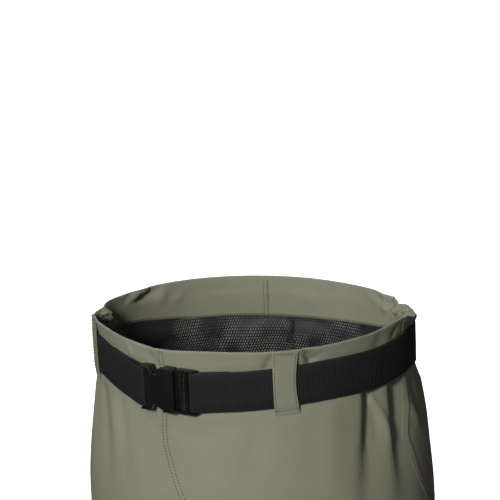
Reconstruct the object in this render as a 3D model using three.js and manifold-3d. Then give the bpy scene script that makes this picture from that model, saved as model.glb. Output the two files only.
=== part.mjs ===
// Waist wader: trousers with a webbing belt, sealed to a pair of rubber boots.
// Millimetres, +Z up, the front towards -Y, the wearer's left towards +X, standing on its soles.

import * as THREE from "three";
import { mergeVertices } from "three/addons/utils/BufferGeometryUtils.js";
import Module from "manifold-3d";

const wasm = await Module();
wasm.setup();

// Driving dimensions of the trousers
const RIM_HEIGHT = 1025; // the front of the waist over the floor
const FORK_HEIGHT = 800; // where the crotch seam leaves the front and the back
const CROTCH_HEIGHT = 728;
const THIGH_HEIGHT = 700;
const SPLIT_HEIGHT = 650; // where the legs are sewn to the hips
const KNEE_HEIGHT = 470;
const CALF_HEIGHT = 350;
const WAIST_WIDTH = 372;
const WAIST_DEPTH = 300;
const RIM_FLARE = 2.5; // how far the gathered rim leans out over the belt
const HIP_WIDTH = 412;
const HIP_DEPTH = 332;
const GUSSET_WIDTH = 22;
const LEG_SPREAD = 208; // between the axes of the thighs
const THIGH_WIDTH = 192;
const THIGH_DEPTH = 252;
const KNEE_WIDTH = 170;
const KNEE_DEPTH = 208;
const CALF_WIDTH = 160;
const CALF_DEPTH = 188;
const CALF_SPREAD = 0.3; // how far the calf's axis has moved from the boot's to the thigh's
const KNEE_SPREAD = 0.6;
const CLOTH_WALL = 1.4;
const HEM_WALL = 2.6;
const HEM_DEPTH = 49;
const HEM_STEP = 2; // height over which the turned hem thins to the cloth
const SLEEVE_LENGTH = 36; // how far each leg reaches down over its boot
const SLEEVE_RISE = 6; // how far over the boot's edge the leg stays tight

// Driving dimensions of the belt, its loops and its buckle
const BELT_WIDTH = 46;
const BELT_THICKNESS = 2;
const LOOP_WIDTH = 28;
const LOOP_THICKNESS = 1.6;
const LOOP_TAIL = 8; // how far a loop reaches below the belt
const LOOP_LIFT = 2; // height over which a loop rises over the belt's edge
const LOOP_FIRST_ANGLE = 25;
const LOOP_COUNT = 4;
const BUCKLE_ANGLE = -15.7;
const BUCKLE_HEIGHT = 51;
const BUCKLE_CORNER = 3;
const BAR_WIDTH = 4;
const SOCKET_LENGTH = 44.5;
const SOCKET_THICKNESS = 12;
const SOCKET_SHELL = 2.7; // front and back walls of the socket
const SOCKET_RAIL = 7; // its walls above and below the prongs
const SLOT_WALL = 2.4; // between the webbing's slot and the prongs' cavity
const NOTCH_START = 31.5; // from the socket's mouth back to the far end of the thumb notches
const NOTCH_END = 15.5;
const NOTCH_DEPTH = 8;
const NOTCH_SLOPE = 3.8;
const FRAME_LENGTH = 26.5;
const FRAME_THICKNESS = 9;
const FRAME_PLATE = 2.4; // the plate that carries the prongs
const FRAME_CHAMFER = 5.7; // slope at the end of the frame's rails
const TOOTHED_BAR_START = 6.9; // from the frame's plate side
const TOOTHED_BAR_WIDTH = 5;
const END_BAR_START = 18;
const PRONG_REACH = 33;
const PRONG_THICKNESS = 5;
const PRONG_ROOT = 14; // half the height over both prongs where they leave the plate
const PRONG_WIDTH = 6;

// Driving dimensions of the boots
const BOOT_HEIGHT = 282;
const BOOT_SPREAD = 196; // between the two shafts' axes
const BOOT_WALL = 2.5;
const FOOT_LENGTH = 294; // along the edge where the upper meets the sole
const BALL_WIDTH = 109;
const SHAFT_WIDTH = 124;
const SHAFT_DEPTH = 140;
const HEEL_OVERHANG = 2; // the foot's back behind the shaft's
const WELT = 4; // how far the sole stands out round the upper
const HEEL_SEAT = 34; // top of the sole under the heel
const BALL_SEAT = 19;
const TOE_SEAT = 32;
const TOE_SPRING = 14;
const ARCH_RISE = 9;
const TREAD_DEPTH = 5;
const TREAD_GAP = 7;
const INSOLE_THICKNESS = 3.5;

const CLEARANCE = 0.3; // between pieces that touch
const SLEEVE_CLEARANCE = 0.4;
const WAIST_COLUMNS = 48;
const BRIDGE_COLUMNS = 8;
const LEG_COLUMNS = WAIST_COLUMNS / 2 + BRIDGE_COLUMNS;

// Heights round the waist over the front of the rim, as shares of the belt's width.
// Angles run from the front, 0, over the wearer's left, 90.
const WAIST_TABLE = [
  { angle: -180, rim: -0.18, belt: -0.6 },
  { angle: -140, rim: -0.16, belt: -0.57 },
  { angle: -110, rim: -0.16, belt: -0.48 },
  { angle: -90, rim: -0.08, belt: -0.39 },
  { angle: -70, rim: 0, belt: -0.32 },
  { angle: -50, rim: 0.05, belt: -0.28 },
  { angle: -40, rim: 0, belt: -0.41 },
  { angle: -30, rim: -0.04, belt: -0.5 },
  { angle: -20, rim: -0.09, belt: -0.51 },
  { angle: -10, rim: -0.04, belt: -0.5 },
  { angle: 0, rim: 0, belt: -0.48 },
  { angle: 20, rim: 0.01, belt: -0.39 },
  { angle: 40, rim: 0.06, belt: -0.28 },
  { angle: 60, rim: 0.15, belt: -0.26 },
  { angle: 80, rim: 0.21, belt: -0.19 },
  { angle: 92, rim: 0.14, belt: -0.21 },
  { angle: 110, rim: -0.08, belt: -0.4 },
  { angle: 140, rim: -0.2, belt: -0.57 },
  { angle: 180, rim: -0.18, belt: -0.6 },
];

// The boot's upper as slices from the sole's edge to the shaft's mouth. rise is a share of the height over the sole,
// back and front are shares of the foot's length, and the half widths are shares of half the ball's width.
// square is the power that rounds a slice's ends: 1 is an ellipse, less is squarer.
const UPPER_SLICES = [
  {
    rise: 0, back: 0, front: 1, heel: 0.75, waist: 0.68,
    ball: 1, toe: 0.9, square: 0.6, lean: 1,
  },
  {
    rise: 0.045, back: -0.005, front: 1.005, heel: 0.77, waist: 0.7,
    ball: 1.02, toe: 0.92, square: 0.6, lean: 1,
  },
  {
    rise: 0.11, back: -0.007, front: 1, heel: 0.76, waist: 0.7,
    ball: 1, toe: 0.89, square: 0.62, lean: 1,
  },
  {
    rise: 0.16, back: -0.006, front: 0.98, heel: 0.74, waist: 0.69,
    ball: 0.96, toe: 0.85, square: 0.66, lean: 1,
  },
  {
    rise: 0.2, back: -0.004, front: 0.94, heel: 0.72, waist: 0.68,
    ball: 0.9, toe: 0.82, square: 0.7, lean: 0.95,
  },
  {
    rise: 0.235, back: -0.002, front: 0.86, heel: 0.7, waist: 0.68,
    ball: 0.85, toe: 0.78, square: 0.76, lean: 0.85,
  },
  {
    rise: 0.275, back: 0.002, front: 0.75, heel: 0.68, waist: 0.69,
    ball: 0.81, toe: 0.76, square: 0.82, lean: 0.7,
  },
  {
    rise: 0.33, back: 0.007, front: 0.64, heel: 0.67, waist: 0.71,
    ball: 0.8, toe: 0.78, square: 0.88, lean: 0.5,
  },
  {
    rise: 0.41, back: 0.012, front: 0.55, heel: 0.68, waist: 0.77,
    ball: 0.85, toe: 0.84, square: 0.94, lean: 0.25,
  },
  {
    rise: 0.52, back: 0.012, front: 0.5, heel: 0.82, waist: 0.9,
    ball: 0.94, toe: 0.94, square: 1, lean: 0,
  },
];
const SHAFT_SHARES = [
  { rise: 0.66, share: 0.5 },
  { rise: 0.83, share: 1 },
  { rise: 1, share: 1 },
];

// Where grooves cut the tread, as shares of the foot's length from the heel, and the hollow of the arch.
const TREAD_CROSSINGS = [0.07, 0.135, 0.2, 0.52, 0.59, 0.66, 0.73, 0.8, 0.87, 0.94];
const TREAD_CHANNELS = [0.555, 0.625, 0.695, 0.765, 0.835, 0.905];
const CHANNEL_LENGTH = 0.075;
const ARCH = { heel: 0.265, heelTop: 0.275, ballTop: 0.4, ball: 0.47 };

// Sideways shift of a foot's middle line, as shares of the ball's width, from the heel to the toe.
const FOOT_LEAN = [
  { along: 0, shift: 0 },
  { along: 0.35, shift: 0.03 },
  { along: 0.7, shift: -0.01 },
  { along: 1, shift: -0.1 },
];

// The sole's side: how far each ring stands out as a share of the welt, at a share of the sole's height.
const SOLE_SIDE = [
  { rise: 0, out: 0.1 },
  { rise: 0.1, out: 0.75 },
  { rise: 0.5, out: 0.8 },
  { rise: 0.58, out: 0.35 },
  { rise: 0.68, out: 0.35 },
  { rise: 0.75, out: 1 },
  { rise: 1, out: 0.95 },
];

const radians = THREE.MathUtils.degToRad;
const mix = THREE.MathUtils.lerp;
const smooth = (x) => THREE.MathUtils.smoothstep(x, 0, 1);

// A smooth curve through one column of a table, as a function of its first column.
function curveThrough(table, key, column) {
  const slope = (i) => {
    const before = table[Math.max(i - 1, 0)];
    const after = table[Math.min(i + 1, table.length - 1)];
    return (after[column] - before[column]) / (after[key] - before[key]);
  };
  return (x) => {
    const clamped = THREE.MathUtils.clamp(x, table[0][key], table[table.length - 1][key]);
    let i = 0;
    while (i < table.length - 2 && clamped > table[i + 1][key]) i += 1;
    const step = table[i + 1][key] - table[i][key];
    const t = (clamped - table[i][key]) / step;
    const rest = 1 - t;
    return (
      table[i][column] * (1 + 2 * t) * rest * rest +
      table[i + 1][column] * (3 - 2 * t) * t * t +
      slope(i) * step * t * rest * rest -
      slope(i + 1) * step * t * t * rest
    );
  };
}

// Meshes

function geometryOf(points, faces) {
  const triangles = faces.flatMap((f) => (f.length === 4 ? [f[0], f[1], f[2], f[0], f[2], f[3]] : f));
  const geometry = new THREE.BufferGeometry();
  geometry.setAttribute("position", new THREE.Float32BufferAttribute(points.flatMap((p) => p.toArray()), 3));
  geometry.setIndex(triangles);
  return geometry;
}

// The unit normals at a surface's points, each lengthened so that a wall keeps its thickness over an edge.
function wallDirections(points, faces) {
  const faceNormals = faces.map((face) => {
    const [a, b, c] = face.map((i) => points[i]);
    const d = points[face[face.length - 1]];
    return new THREE.Vector3().subVectors(c, a).cross(new THREE.Vector3().subVectors(d, b)).normalize();
  });
  const sums = points.map(() => new THREE.Vector3());
  const around = points.map(() => []);
  faces.forEach((face, f) => {
    face.forEach((i) => {
      sums[i].add(faceNormals[f]);
      around[i].push(faceNormals[f]);
    });
  });
  return sums.map((sum, i) => {
    const normal = sum.normalize();
    const lean = around[i].reduce((total, n) => total + n.dot(normal), 0) / around[i].length;
    return normal.multiplyScalar(1 / Math.max(lean, 0.6));
  });
}

// A closed shell from an open outer surface. walls holds the thickness at each point.
function shellGeometry(points, faces, walls) {
  const directions = wallDirections(points, faces);
  const inner = points.map((p, i) => p.clone().addScaledVector(directions[i], -walls[i]));
  const count = points.length;
  const all = [...faces, ...faces.map((face) => face.map((i) => i + count).reverse())];
  const used = new Set();
  faces.forEach((face) => face.forEach((a, i) => used.add(`${a} ${face[(i + 1) % face.length]}`)));
  faces.forEach((face) => {
    face.forEach((a, i) => {
      const b = face[(i + 1) % face.length];
      if (!used.has(`${b} ${a}`)) all.push([b, a, a + count, b + count]);
    });
  });
  return geometryOf([...points, ...inner], all);
}

// The faces between rings of points, each ring lower than the one before, seen from outside.
function ringFaces(rings, closed = true) {
  const faces = [];
  for (let r = 0; r + 1 < rings.length; r += 1) {
    const count = rings[r].length;
    for (let j = 0; j < (closed ? count : count - 1); j += 1) {
      const next = (j + 1) % count;
      faces.push([rings[r][j], rings[r + 1][j], rings[r + 1][next], rings[r][next]]);
    }
  }
  return faces;
}

// A solid between stacked rings, the top one first, each closed straight across from side to side.
function stackGeometry(rings) {
  const count = rings[0].length;
  const indexed = rings.map((ring, r) => ring.map((_, j) => r * count + j));
  const across = (ring) => {
    const faces = [];
    for (let j = 0; j < count / 2; j += 1) {
      const corners = [j, j + 1, count - j - 1, (count - j) % count];
      faces.push([...new Set(corners)].map((c) => ring[c]));
    }
    return faces;
  };
  const bottom = across(indexed[rings.length - 1]).map((face) => face.reverse());
  return geometryOf(rings.flat(), [...ringFaces(indexed), ...across(indexed[0]), ...bottom]);
}

function solidOf(geometry) {
  const plain = geometry.clone();
  plain.deleteAttribute("normal");
  plain.deleteAttribute("uv");
  const merged = mergeVertices(plain, 1e-4);
  return new wasm.Manifold(
    new wasm.Mesh({
      numProp: 3,
      vertProperties: new Float32Array(merged.attributes.position.array),
      triVerts: new Uint32Array(merged.index.array),
    }),
  );
}

function geometryFrom(solid) {
  const mesh = solid.getMesh();
  const geometry = new THREE.BufferGeometry();
  geometry.setAttribute("position", new THREE.BufferAttribute(mesh.vertProperties, 3));
  geometry.setIndex(new THREE.BufferAttribute(mesh.triVerts, 1));
  return geometry;
}

function cut(body, cutters) {
  return cutters.reduce((left, cutter) => left.subtract(solidOf(cutter)), body);
}

function joined(body, additions) {
  return additions.reduce((whole, addition) => whole.add(solidOf(addition)), body);
}

// A box from its two opposite corners.
function boxBetween(from, to) {
  const low = new THREE.Vector3(...from);
  const high = new THREE.Vector3(...to);
  const size = new THREE.Vector3().subVectors(high, low);
  const middle = new THREE.Vector3().addVectors(low, high).multiplyScalar(0.5);
  return new THREE.BoxGeometry(size.x, size.y, size.z).translate(middle.x, middle.y, middle.z);
}

// A plate from an outline, between two depths.
function plate(outline, from, to) {
  const shape = new THREE.Shape(outline.map(([x, y]) => new THREE.Vector2(x, y)));
  return new THREE.ExtrudeGeometry(shape, { depth: to - from, bevelEnabled: false }).translate(0, 0, from);
}

function roundedOutline(left, right, low, high, corner) {
  const centres = [
    [right - corner, high - corner, 0],
    [left + corner, high - corner, 90],
    [left + corner, low + corner, 180],
    [right - corner, low + corner, 270],
  ];
  const outline = [];
  centres.forEach(([x, y, start]) => {
    for (const turn of [0, 30, 60, 90]) {
      const a = radians(start + turn);
      outline.push([x + corner * Math.cos(a), y + corner * Math.sin(a)]);
    }
  });
  return outline;
}

// The waist

const rimShare = curveThrough(WAIST_TABLE, "angle", "rim");
const beltShare = curveThrough(WAIST_TABLE, "angle", "belt");
const wrapped = (angle) => THREE.MathUtils.euclideanModulo(angle + 180, 360) - 180;
const rimLevel = (angle) => RIM_HEIGHT + BELT_WIDTH * rimShare(wrapped(angle));
const beltTopLevel = (angle) => RIM_HEIGHT + BELT_WIDTH * beltShare(wrapped(angle));
const beltBottomLevel = (angle) => beltTopLevel(angle) - BELT_WIDTH;

// A point of an ellipse round the body, moved out by a distance.
function ellipsePoint(angle, width, depth, z, out = 0) {
  const a = radians(angle);
  const point = new THREE.Vector3((width / 2) * Math.sin(a), (-depth / 2) * Math.cos(a), z);
  const normal = new THREE.Vector3(Math.sin(a) / width, -Math.cos(a) / depth, 0).normalize();
  return point.addScaledVector(normal, out);
}

// One column of points down the waist and hips at an angle, with its walls.
function waistColumn(angle) {
  const at = (z, out) => ellipsePoint(angle, WAIST_WIDTH, WAIST_DEPTH, z, out);
  const hem = rimLevel(angle) - HEM_DEPTH;
  const column = [
    { point: at(rimLevel(angle), RIM_FLARE), wall: HEM_WALL },
    { point: at(beltTopLevel(angle), 0), wall: HEM_WALL },
    { point: at(hem, 0), wall: HEM_WALL },
    { point: at(hem - HEM_STEP, 0), wall: CLOTH_WALL },
    { point: at(beltBottomLevel(angle), 0), wall: CLOTH_WALL },
  ];
  for (const share of [0.22, 0.48, 0.75, 1]) {
    const spread = Math.sin((share * Math.PI) / 2);
    const width = mix(WAIST_WIDTH, HIP_WIDTH, spread);
    const depth = mix(WAIST_DEPTH, HIP_DEPTH, spread);
    const z = mix(beltBottomLevel(angle), FORK_HEIGHT, share);
    column.push({ point: ellipsePoint(angle, width, depth, z), wall: CLOTH_WALL });
  }
  return column;
}

const columnAngle = (k) => (360 / WAIST_COLUMNS) * k;
const WAIST = Array.from({ length: WAIST_COLUMNS }, (_, k) => waistColumn(columnAngle(k)));

// The point of one waist column at a height.
function columnAt(column, z) {
  let i = 0;
  while (i < column.length - 2 && column[i + 1].point.z > z) i += 1;
  const [upper, lower] = [column[i].point, column[i + 1].point];
  const share = (upper.z - z) / (upper.z - lower.z);
  return upper.clone().lerp(lower, Math.max(share, 0)).setZ(z);
}

// A point on the flat facets of the waist, moved out by a distance.
function onWaist(angle, z, out) {
  const step = THREE.MathUtils.euclideanModulo(angle, 360) / (360 / WAIST_COLUMNS);
  const k = Math.floor(step);
  const a = columnAt(WAIST[k % WAIST_COLUMNS], z);
  const b = columnAt(WAIST[(k + 1) % WAIST_COLUMNS], z);
  const normal = ellipsePoint(angle, WAIST_WIDTH, WAIST_DEPTH, 0, 1).sub(
    ellipsePoint(angle, WAIST_WIDTH, WAIST_DEPTH, 0),
  );
  return a.lerp(b, step - k).addScaledVector(normal, out);
}

// The trousers

const hemHeight = BOOT_HEIGHT - SLEEVE_LENGTH;
const sleeveTop = BOOT_HEIGHT + SLEEVE_RISE;
const sleeveWidth = SHAFT_WIDTH + 2 * (SLEEVE_CLEARANCE + CLOTH_WALL);
const sleeveDepth = SHAFT_DEPTH + 2 * (SLEEVE_CLEARANCE + CLOTH_WALL);
const LEG_TABLE = [
  { z: hemHeight, axis: BOOT_SPREAD / 2, width: sleeveWidth, depth: sleeveDepth },
  { z: sleeveTop, axis: BOOT_SPREAD / 2, width: sleeveWidth, depth: sleeveDepth },
  { z: CALF_HEIGHT, axis: mix(BOOT_SPREAD, LEG_SPREAD, CALF_SPREAD) / 2, width: CALF_WIDTH, depth: CALF_DEPTH },
  { z: KNEE_HEIGHT, axis: mix(BOOT_SPREAD, LEG_SPREAD, KNEE_SPREAD) / 2, width: KNEE_WIDTH, depth: KNEE_DEPTH },
  { z: THIGH_HEIGHT, axis: LEG_SPREAD / 2, width: THIGH_WIDTH, depth: THIGH_DEPTH },
  { z: FORK_HEIGHT, axis: LEG_SPREAD / 2, width: THIGH_WIDTH, depth: THIGH_DEPTH },
];
const legAxis = curveThrough(LEG_TABLE, "z", "axis");
const legWidth = curveThrough(LEG_TABLE, "z", "width");
const legDepth = curveThrough(LEG_TABLE, "z", "depth");

function tubePoint(j, z, width, depth, axis) {
  const angle = (360 / LEG_COLUMNS) * (j - BRIDGE_COLUMNS / 2);
  return ellipsePoint(angle, width, depth, z).add(new THREE.Vector3(axis, 0, 0));
}

// The ring where the left leg leaves the hips: half the waist's columns, then the crotch seam from back to front.
function forkRing() {
  const half = WAIST_COLUMNS / 2;
  const ring = [];
  for (let j = 0; j <= half; j += 1) ring.push(WAIST[j][WAIST[j].length - 1].point.clone());
  for (let j = 1; j < BRIDGE_COLUMNS; j += 1) {
    const turn = (Math.PI * j) / BRIDGE_COLUMNS;
    const drop = (FORK_HEIGHT - CROTCH_HEIGHT) * Math.sin(turn);
    const x = (GUSSET_WIDTH / 2) * Math.sin(turn);
    ring.push(new THREE.Vector3(x, (HIP_DEPTH / 2) * Math.cos(turn), FORK_HEIGHT - drop));
  }
  return ring;
}

// The rings down the left leg. The first ones follow the fork, and from the split down they are level.
const SPLIT_SHARES = [0.35, 0.7, 1];
const THIGH_SHARES = [0.25, 0.5, 0.75, 1];
const SPLIT_ROUNDNESS = 0.75; // how far the section has turned from the hips' shape to a tube at the split

function legRings() {
  const top = forkRing();
  const ringTo = (from, to, share, roundness) =>
    top.map((start, j) => {
      const z = mix(from ?? start.z, to, share);
      const tube = tubePoint(j, z, legWidth(z), legDepth(z), legAxis(z));
      return start.clone().lerp(tube, smooth(roundness)).setZ(z);
    });
  const rings = [
    ...SPLIT_SHARES.map((share) => ringTo(null, SPLIT_HEIGHT, share, SPLIT_ROUNDNESS * share)),
    ...THIGH_SHARES.map((share) => ringTo(SPLIT_HEIGHT, KNEE_HEIGHT, share, SPLIT_ROUNDNESS + share)),
  ];
  const middle = mix(CALF_HEIGHT, KNEE_HEIGHT, 0.5);
  const ankle = mix(sleeveTop, CALF_HEIGHT, 0.35);
  for (const z of [middle, CALF_HEIGHT, ankle]) {
    rings.push(top.map((_, j) => tubePoint(j, z, legWidth(z), legDepth(z), legAxis(z))));
  }
  for (const z of [sleeveTop, hemHeight]) {
    const { width, depth, axis } = LEG_TABLE[0];
    rings.push(top.map((_, j) => tubePoint(j, z, width, depth, axis)));
  }
  return rings;
}

// The waist and hips down to the thighs, in one piece with the gusset between the legs.
function hipsGeometry() {
  const points = [];
  const walls = [];
  const add = (point, wall) => {
    points.push(point);
    walls.push(wall);
    return points.length - 1;
  };
  const rows = WAIST[0].map((_, r) => WAIST.map((column) => add(column[r].point, column[r].wall)));
  const faces = ringFaces(rows);
  const forkRow = rows[rows.length - 1];
  const half = WAIST_COLUMNS / 2;
  const mirror = new THREE.Vector3(-1, 1, 1);
  const fork = forkRing();
  const lower = legRings().slice(0, SPLIT_SHARES.length);
  const [left, right] = [1, -1].map((side) => {
    const placed = (p) => add(side > 0 ? p.clone() : p.clone().multiply(mirror), CLOTH_WALL);
    const onFork = (j) => forkRow[(side * j + WAIST_COLUMNS) % WAIST_COLUMNS];
    const seam = fork.map((p, j) => (j <= half ? onFork(j) : placed(p)));
    const thigh = ringFaces([seam, ...lower.map((ring) => ring.map(placed))]);
    faces.push(...(side > 0 ? thigh : thigh.map((face) => face.reverse())));
    return seam;
  });
  for (let j = half; j < LEG_COLUMNS; j += 1) {
    const next = (j + 1) % LEG_COLUMNS;
    faces.push([...new Set([left[j], left[next], right[next], right[j]])]);
  }
  return shellGeometry(points, faces, walls);
}

// The left leg from the split down to its tight end over the boot.
function legGeometry() {
  const [split, ...below] = legRings().slice(SPLIT_SHARES.length - 1);
  const first = split.map((p, j) => p.clone().lerp(below[0][j], CLEARANCE / (p.z - below[0][j].z)));
  const rings = [first, ...below];
  const indexed = rings.map((ring, r) => ring.map((_, j) => r * LEG_COLUMNS + j));
  const points = rings.flat();
  return shellGeometry(points, ringFaces(indexed), points.map(() => CLOTH_WALL));
}

// The belt and its loops

const buckleBase = ellipsePoint(
  BUCKLE_ANGLE,
  WAIST_WIDTH,
  WAIST_DEPTH,
  beltTopLevel(BUCKLE_ANGLE) - BELT_WIDTH / 2,
);
const buckleTurn = Math.atan2(
  WAIST_DEPTH * Math.sin(radians(BUCKLE_ANGLE)),
  WAIST_WIDTH * Math.cos(radians(BUCKLE_ANGLE)),
);
const backFace = CLEARANCE + 0.1; // of the buckle, in front of the cloth it touches
const socketFront = backFace + SOCKET_THICKNESS;
const frameFront = backFace + FRAME_THICKNESS;
const socketEnd = -(SOCKET_LENGTH + FRAME_LENGTH) / 2;
const socketMouth = socketEnd + SOCKET_LENGTH;
const cavityEnd = socketMouth - PRONG_REACH - 2;
const frameStart = socketMouth + CLEARANCE;
const frameEnd = frameStart + FRAME_LENGTH;
const halfHeight = BUCKLE_HEIGHT / 2;
const webbingSlot = BELT_WIDTH / 2 + 0.6; // half height of the buckle's windows
const wrap = CLEARANCE + BELT_THICKNESS / 2; // from a bar's face to the webbing's middle
const doubled = wrap + CLEARANCE + BELT_THICKNESS; // the middle of a second layer of webbing over the cloth
const socketBar = { left: socketEnd, right: socketEnd + BAR_WIDTH, back: 3, front: 8 };
const toothedBar = {
  left: frameStart + TOOTHED_BAR_START,
  right: frameStart + TOOTHED_BAR_START + TOOTHED_BAR_WIDTH,
  back: 3,
  front: 6,
};
const endBar = {
  left: frameStart + END_BAR_START,
  right: frameStart + END_BAR_START + BAR_WIDTH,
  back: 2.6,
  front: 4.8,
};

// A point in front of the waist, from the buckle's middle along the belt and out from the body.
function atBuckle(along, out) {
  const direction = new THREE.Vector3(Math.cos(buckleTurn), Math.sin(buckleTurn), 0);
  const outward = new THREE.Vector3(direction.y, -direction.x, 0);
  return buckleBase.clone().addScaledVector(direction, along).addScaledVector(outward, out);
}

// The webbing's middle line seen from above, from its sewn end round the body to its other end, with its upper
// edge. It is folded round one bar of the buckle at each end, and each fold's inner layer lies on the cloth.
function beltRoute() {
  const route = [];
  const buckled = buckleBase.z + BELT_WIDTH / 2;
  const reach = atBuckle(frameEnd, 0).distanceTo(buckleBase);
  const step = 360 / WAIST_COLUMNS;
  const near = (along, out) => route.push(atBuckle(along, out).setZ(buckled));
  const round = (steps, out) => {
    const angle = steps * step;
    const point = ellipsePoint(angle, WAIST_WIDTH, WAIST_DEPTH, beltTopLevel(angle), out);
    const besideBuckle = point.clone().setZ(buckleBase.z).distanceTo(buckleBase) < reach;
    route.push(besideBuckle ? point.setZ(buckled) : point);
  };
  // From the cloth round a bar to its front. side is the side of the bar that the webbing passes.
  const fold = (bar, edge, side) => {
    near(edge, bar.back - wrap);
    near(edge + side * 0.8 * wrap, bar.back - 0.8 * wrap);
    near(edge + side * wrap, bar.back);
    near(edge + side * wrap, bar.front);
    near(edge + side * 0.8 * wrap, bar.front + 0.8 * wrap);
    near(edge, bar.front + wrap);
  };
  for (const steps of [-6, -5, -4]) round(steps, wrap);
  near(socketBar.left + 1, socketBar.back - wrap);
  fold(socketBar, socketBar.right, 1);
  near(socketBar.left - 1.5, socketBar.front + wrap);
  for (const steps of [-5, -6]) round(steps, doubled);
  round(-7, 1.5 * wrap);
  for (let steps = -8; steps >= 3 - WAIST_COLUMNS; steps -= 1) round(steps, wrap);
  round(2, 1.5 * wrap);
  for (const steps of [1, 0]) round(steps, doubled);
  const start = route.length;
  near(endBar.right + 1, endBar.back - wrap);
  fold(endBar, endBar.left, -1);
  near(endBar.right + 1, endBar.front + wrap);
  route.push(...route.splice(start).reverse());
  for (const steps of [0, 1]) round(steps, wrap);
  return route;
}

// Webbing on edge: a line of points at its upper edge, thickened to both sides.
function webbingGeometry(route) {
  const sideways = route.map((point, i) => {
    const into = new THREE.Vector3().subVectors(point, route[Math.max(i - 1, 0)]).setZ(0).normalize();
    const next = route[Math.min(i + 1, route.length - 1)];
    const out = new THREE.Vector3().subVectors(next, point).setZ(0).normalize();
    const along = new THREE.Vector3().addVectors(into, out).normalize();
    const reach = BELT_THICKNESS / 2 / Math.max(Math.max(along.dot(into), along.dot(out)), 0.7);
    return new THREE.Vector3(along.y, -along.x, 0).multiplyScalar(reach);
  });
  const rings = route.map((point, i) => {
    const [right, left] = [point.clone().add(sideways[i]), point.clone().sub(sideways[i])];
    const lowered = (p) => p.clone().setZ(point.z - BELT_WIDTH);
    return [left, lowered(left), lowered(right), right];
  });
  const indexed = rings.map((ring, r) => ring.map((_, j) => 4 * r + j));
  const ends = [indexed[0], [...indexed[rings.length - 1]].reverse()];
  return geometryOf(rings.flat(), [...ringFaces(indexed), ...ends]);
}

function loopGeometry(middle) {
  const across = ellipsePoint(middle + 90, WAIST_WIDTH, WAIST_DEPTH, 0).length();
  const halfTurn = THREE.MathUtils.radToDeg(LOOP_WIDTH / 2 / across);
  const step = 360 / WAIST_COLUMNS;
  const angles = [middle - halfTurn, middle, middle + halfTurn];
  const vertex = Math.ceil((middle - halfTurn) / step) * step;
  for (let a = vertex; a < middle + halfTurn; a += step) angles.push(a);
  const columns = [...new Set(angles)].sort((a, b) => a - b);
  const flat = CLEARANCE + LOOP_THICKNESS;
  const raised = flat + BELT_THICKNESS + CLEARANCE;
  const profile = (angle) => {
    const [rim, top, bottom] = [rimLevel(angle), beltTopLevel(angle), beltBottomLevel(angle)];
    return [
      [rim - 0.5, flat],
      [mix(rim, top, 0.35), flat],
      [top + LOOP_LIFT, raised],
      [mix(top, bottom, 0.5), raised],
      [bottom - LOOP_LIFT, raised],
      [bottom - LOOP_TAIL / 2, flat],
      [bottom - LOOP_TAIL, flat],
    ];
  };
  const points = [];
  const rows = profile(middle).map((_, r) =>
    columns.map((angle) => {
      const [z, out] = profile(angle)[r];
      points.push(onWaist(angle, z, out));
      return points.length - 1;
    }),
  );
  return shellGeometry(points, ringFaces(rows, false), points.map(() => LOOP_THICKNESS));
}

// The buckle, drawn flat: x along the belt, y up, z out from the body.

function socketGeometry() {
  const cavityHalf = halfHeight - SOCKET_RAIL;
  const outline = roundedOutline(socketEnd, socketMouth, -halfHeight, halfHeight, BUCKLE_CORNER);
  const cavity = boxBetween(
    [cavityEnd, -cavityHalf, backFace + SOCKET_SHELL],
    [socketMouth + 1, cavityHalf, socketFront - SOCKET_SHELL],
  );
  const { left, right, back, front } = socketBar;
  const slot = boxBetween([right, -webbingSlot, -1], [cavityEnd - SLOT_WALL, webbingSlot, socketFront + 1]);
  const overBar = boxBetween([left - 1, -webbingSlot, front], [right + 1, webbingSlot, socketFront + 1]);
  const underBar = boxBetween([left - 1, -webbingSlot, -1], [right + 1, webbingSlot, back]);
  const notches = [1, -1].map((side) => {
    const notch = [
      [socketMouth - NOTCH_START, side * (halfHeight + 1)],
      [socketMouth - NOTCH_START + NOTCH_SLOPE, side * (halfHeight - NOTCH_DEPTH)],
      [socketMouth - NOTCH_END, side * (halfHeight - NOTCH_DEPTH)],
      [socketMouth - NOTCH_END, side * (halfHeight + 1)],
    ];
    return plate(side > 0 ? notch.reverse() : notch, -1, socketFront + 1);
  });
  const body = solidOf(plate(outline, backFace, socketFront));
  return geometryFrom(cut(body, [cavity, slot, overBar, underBar, ...notches]));
}

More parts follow.
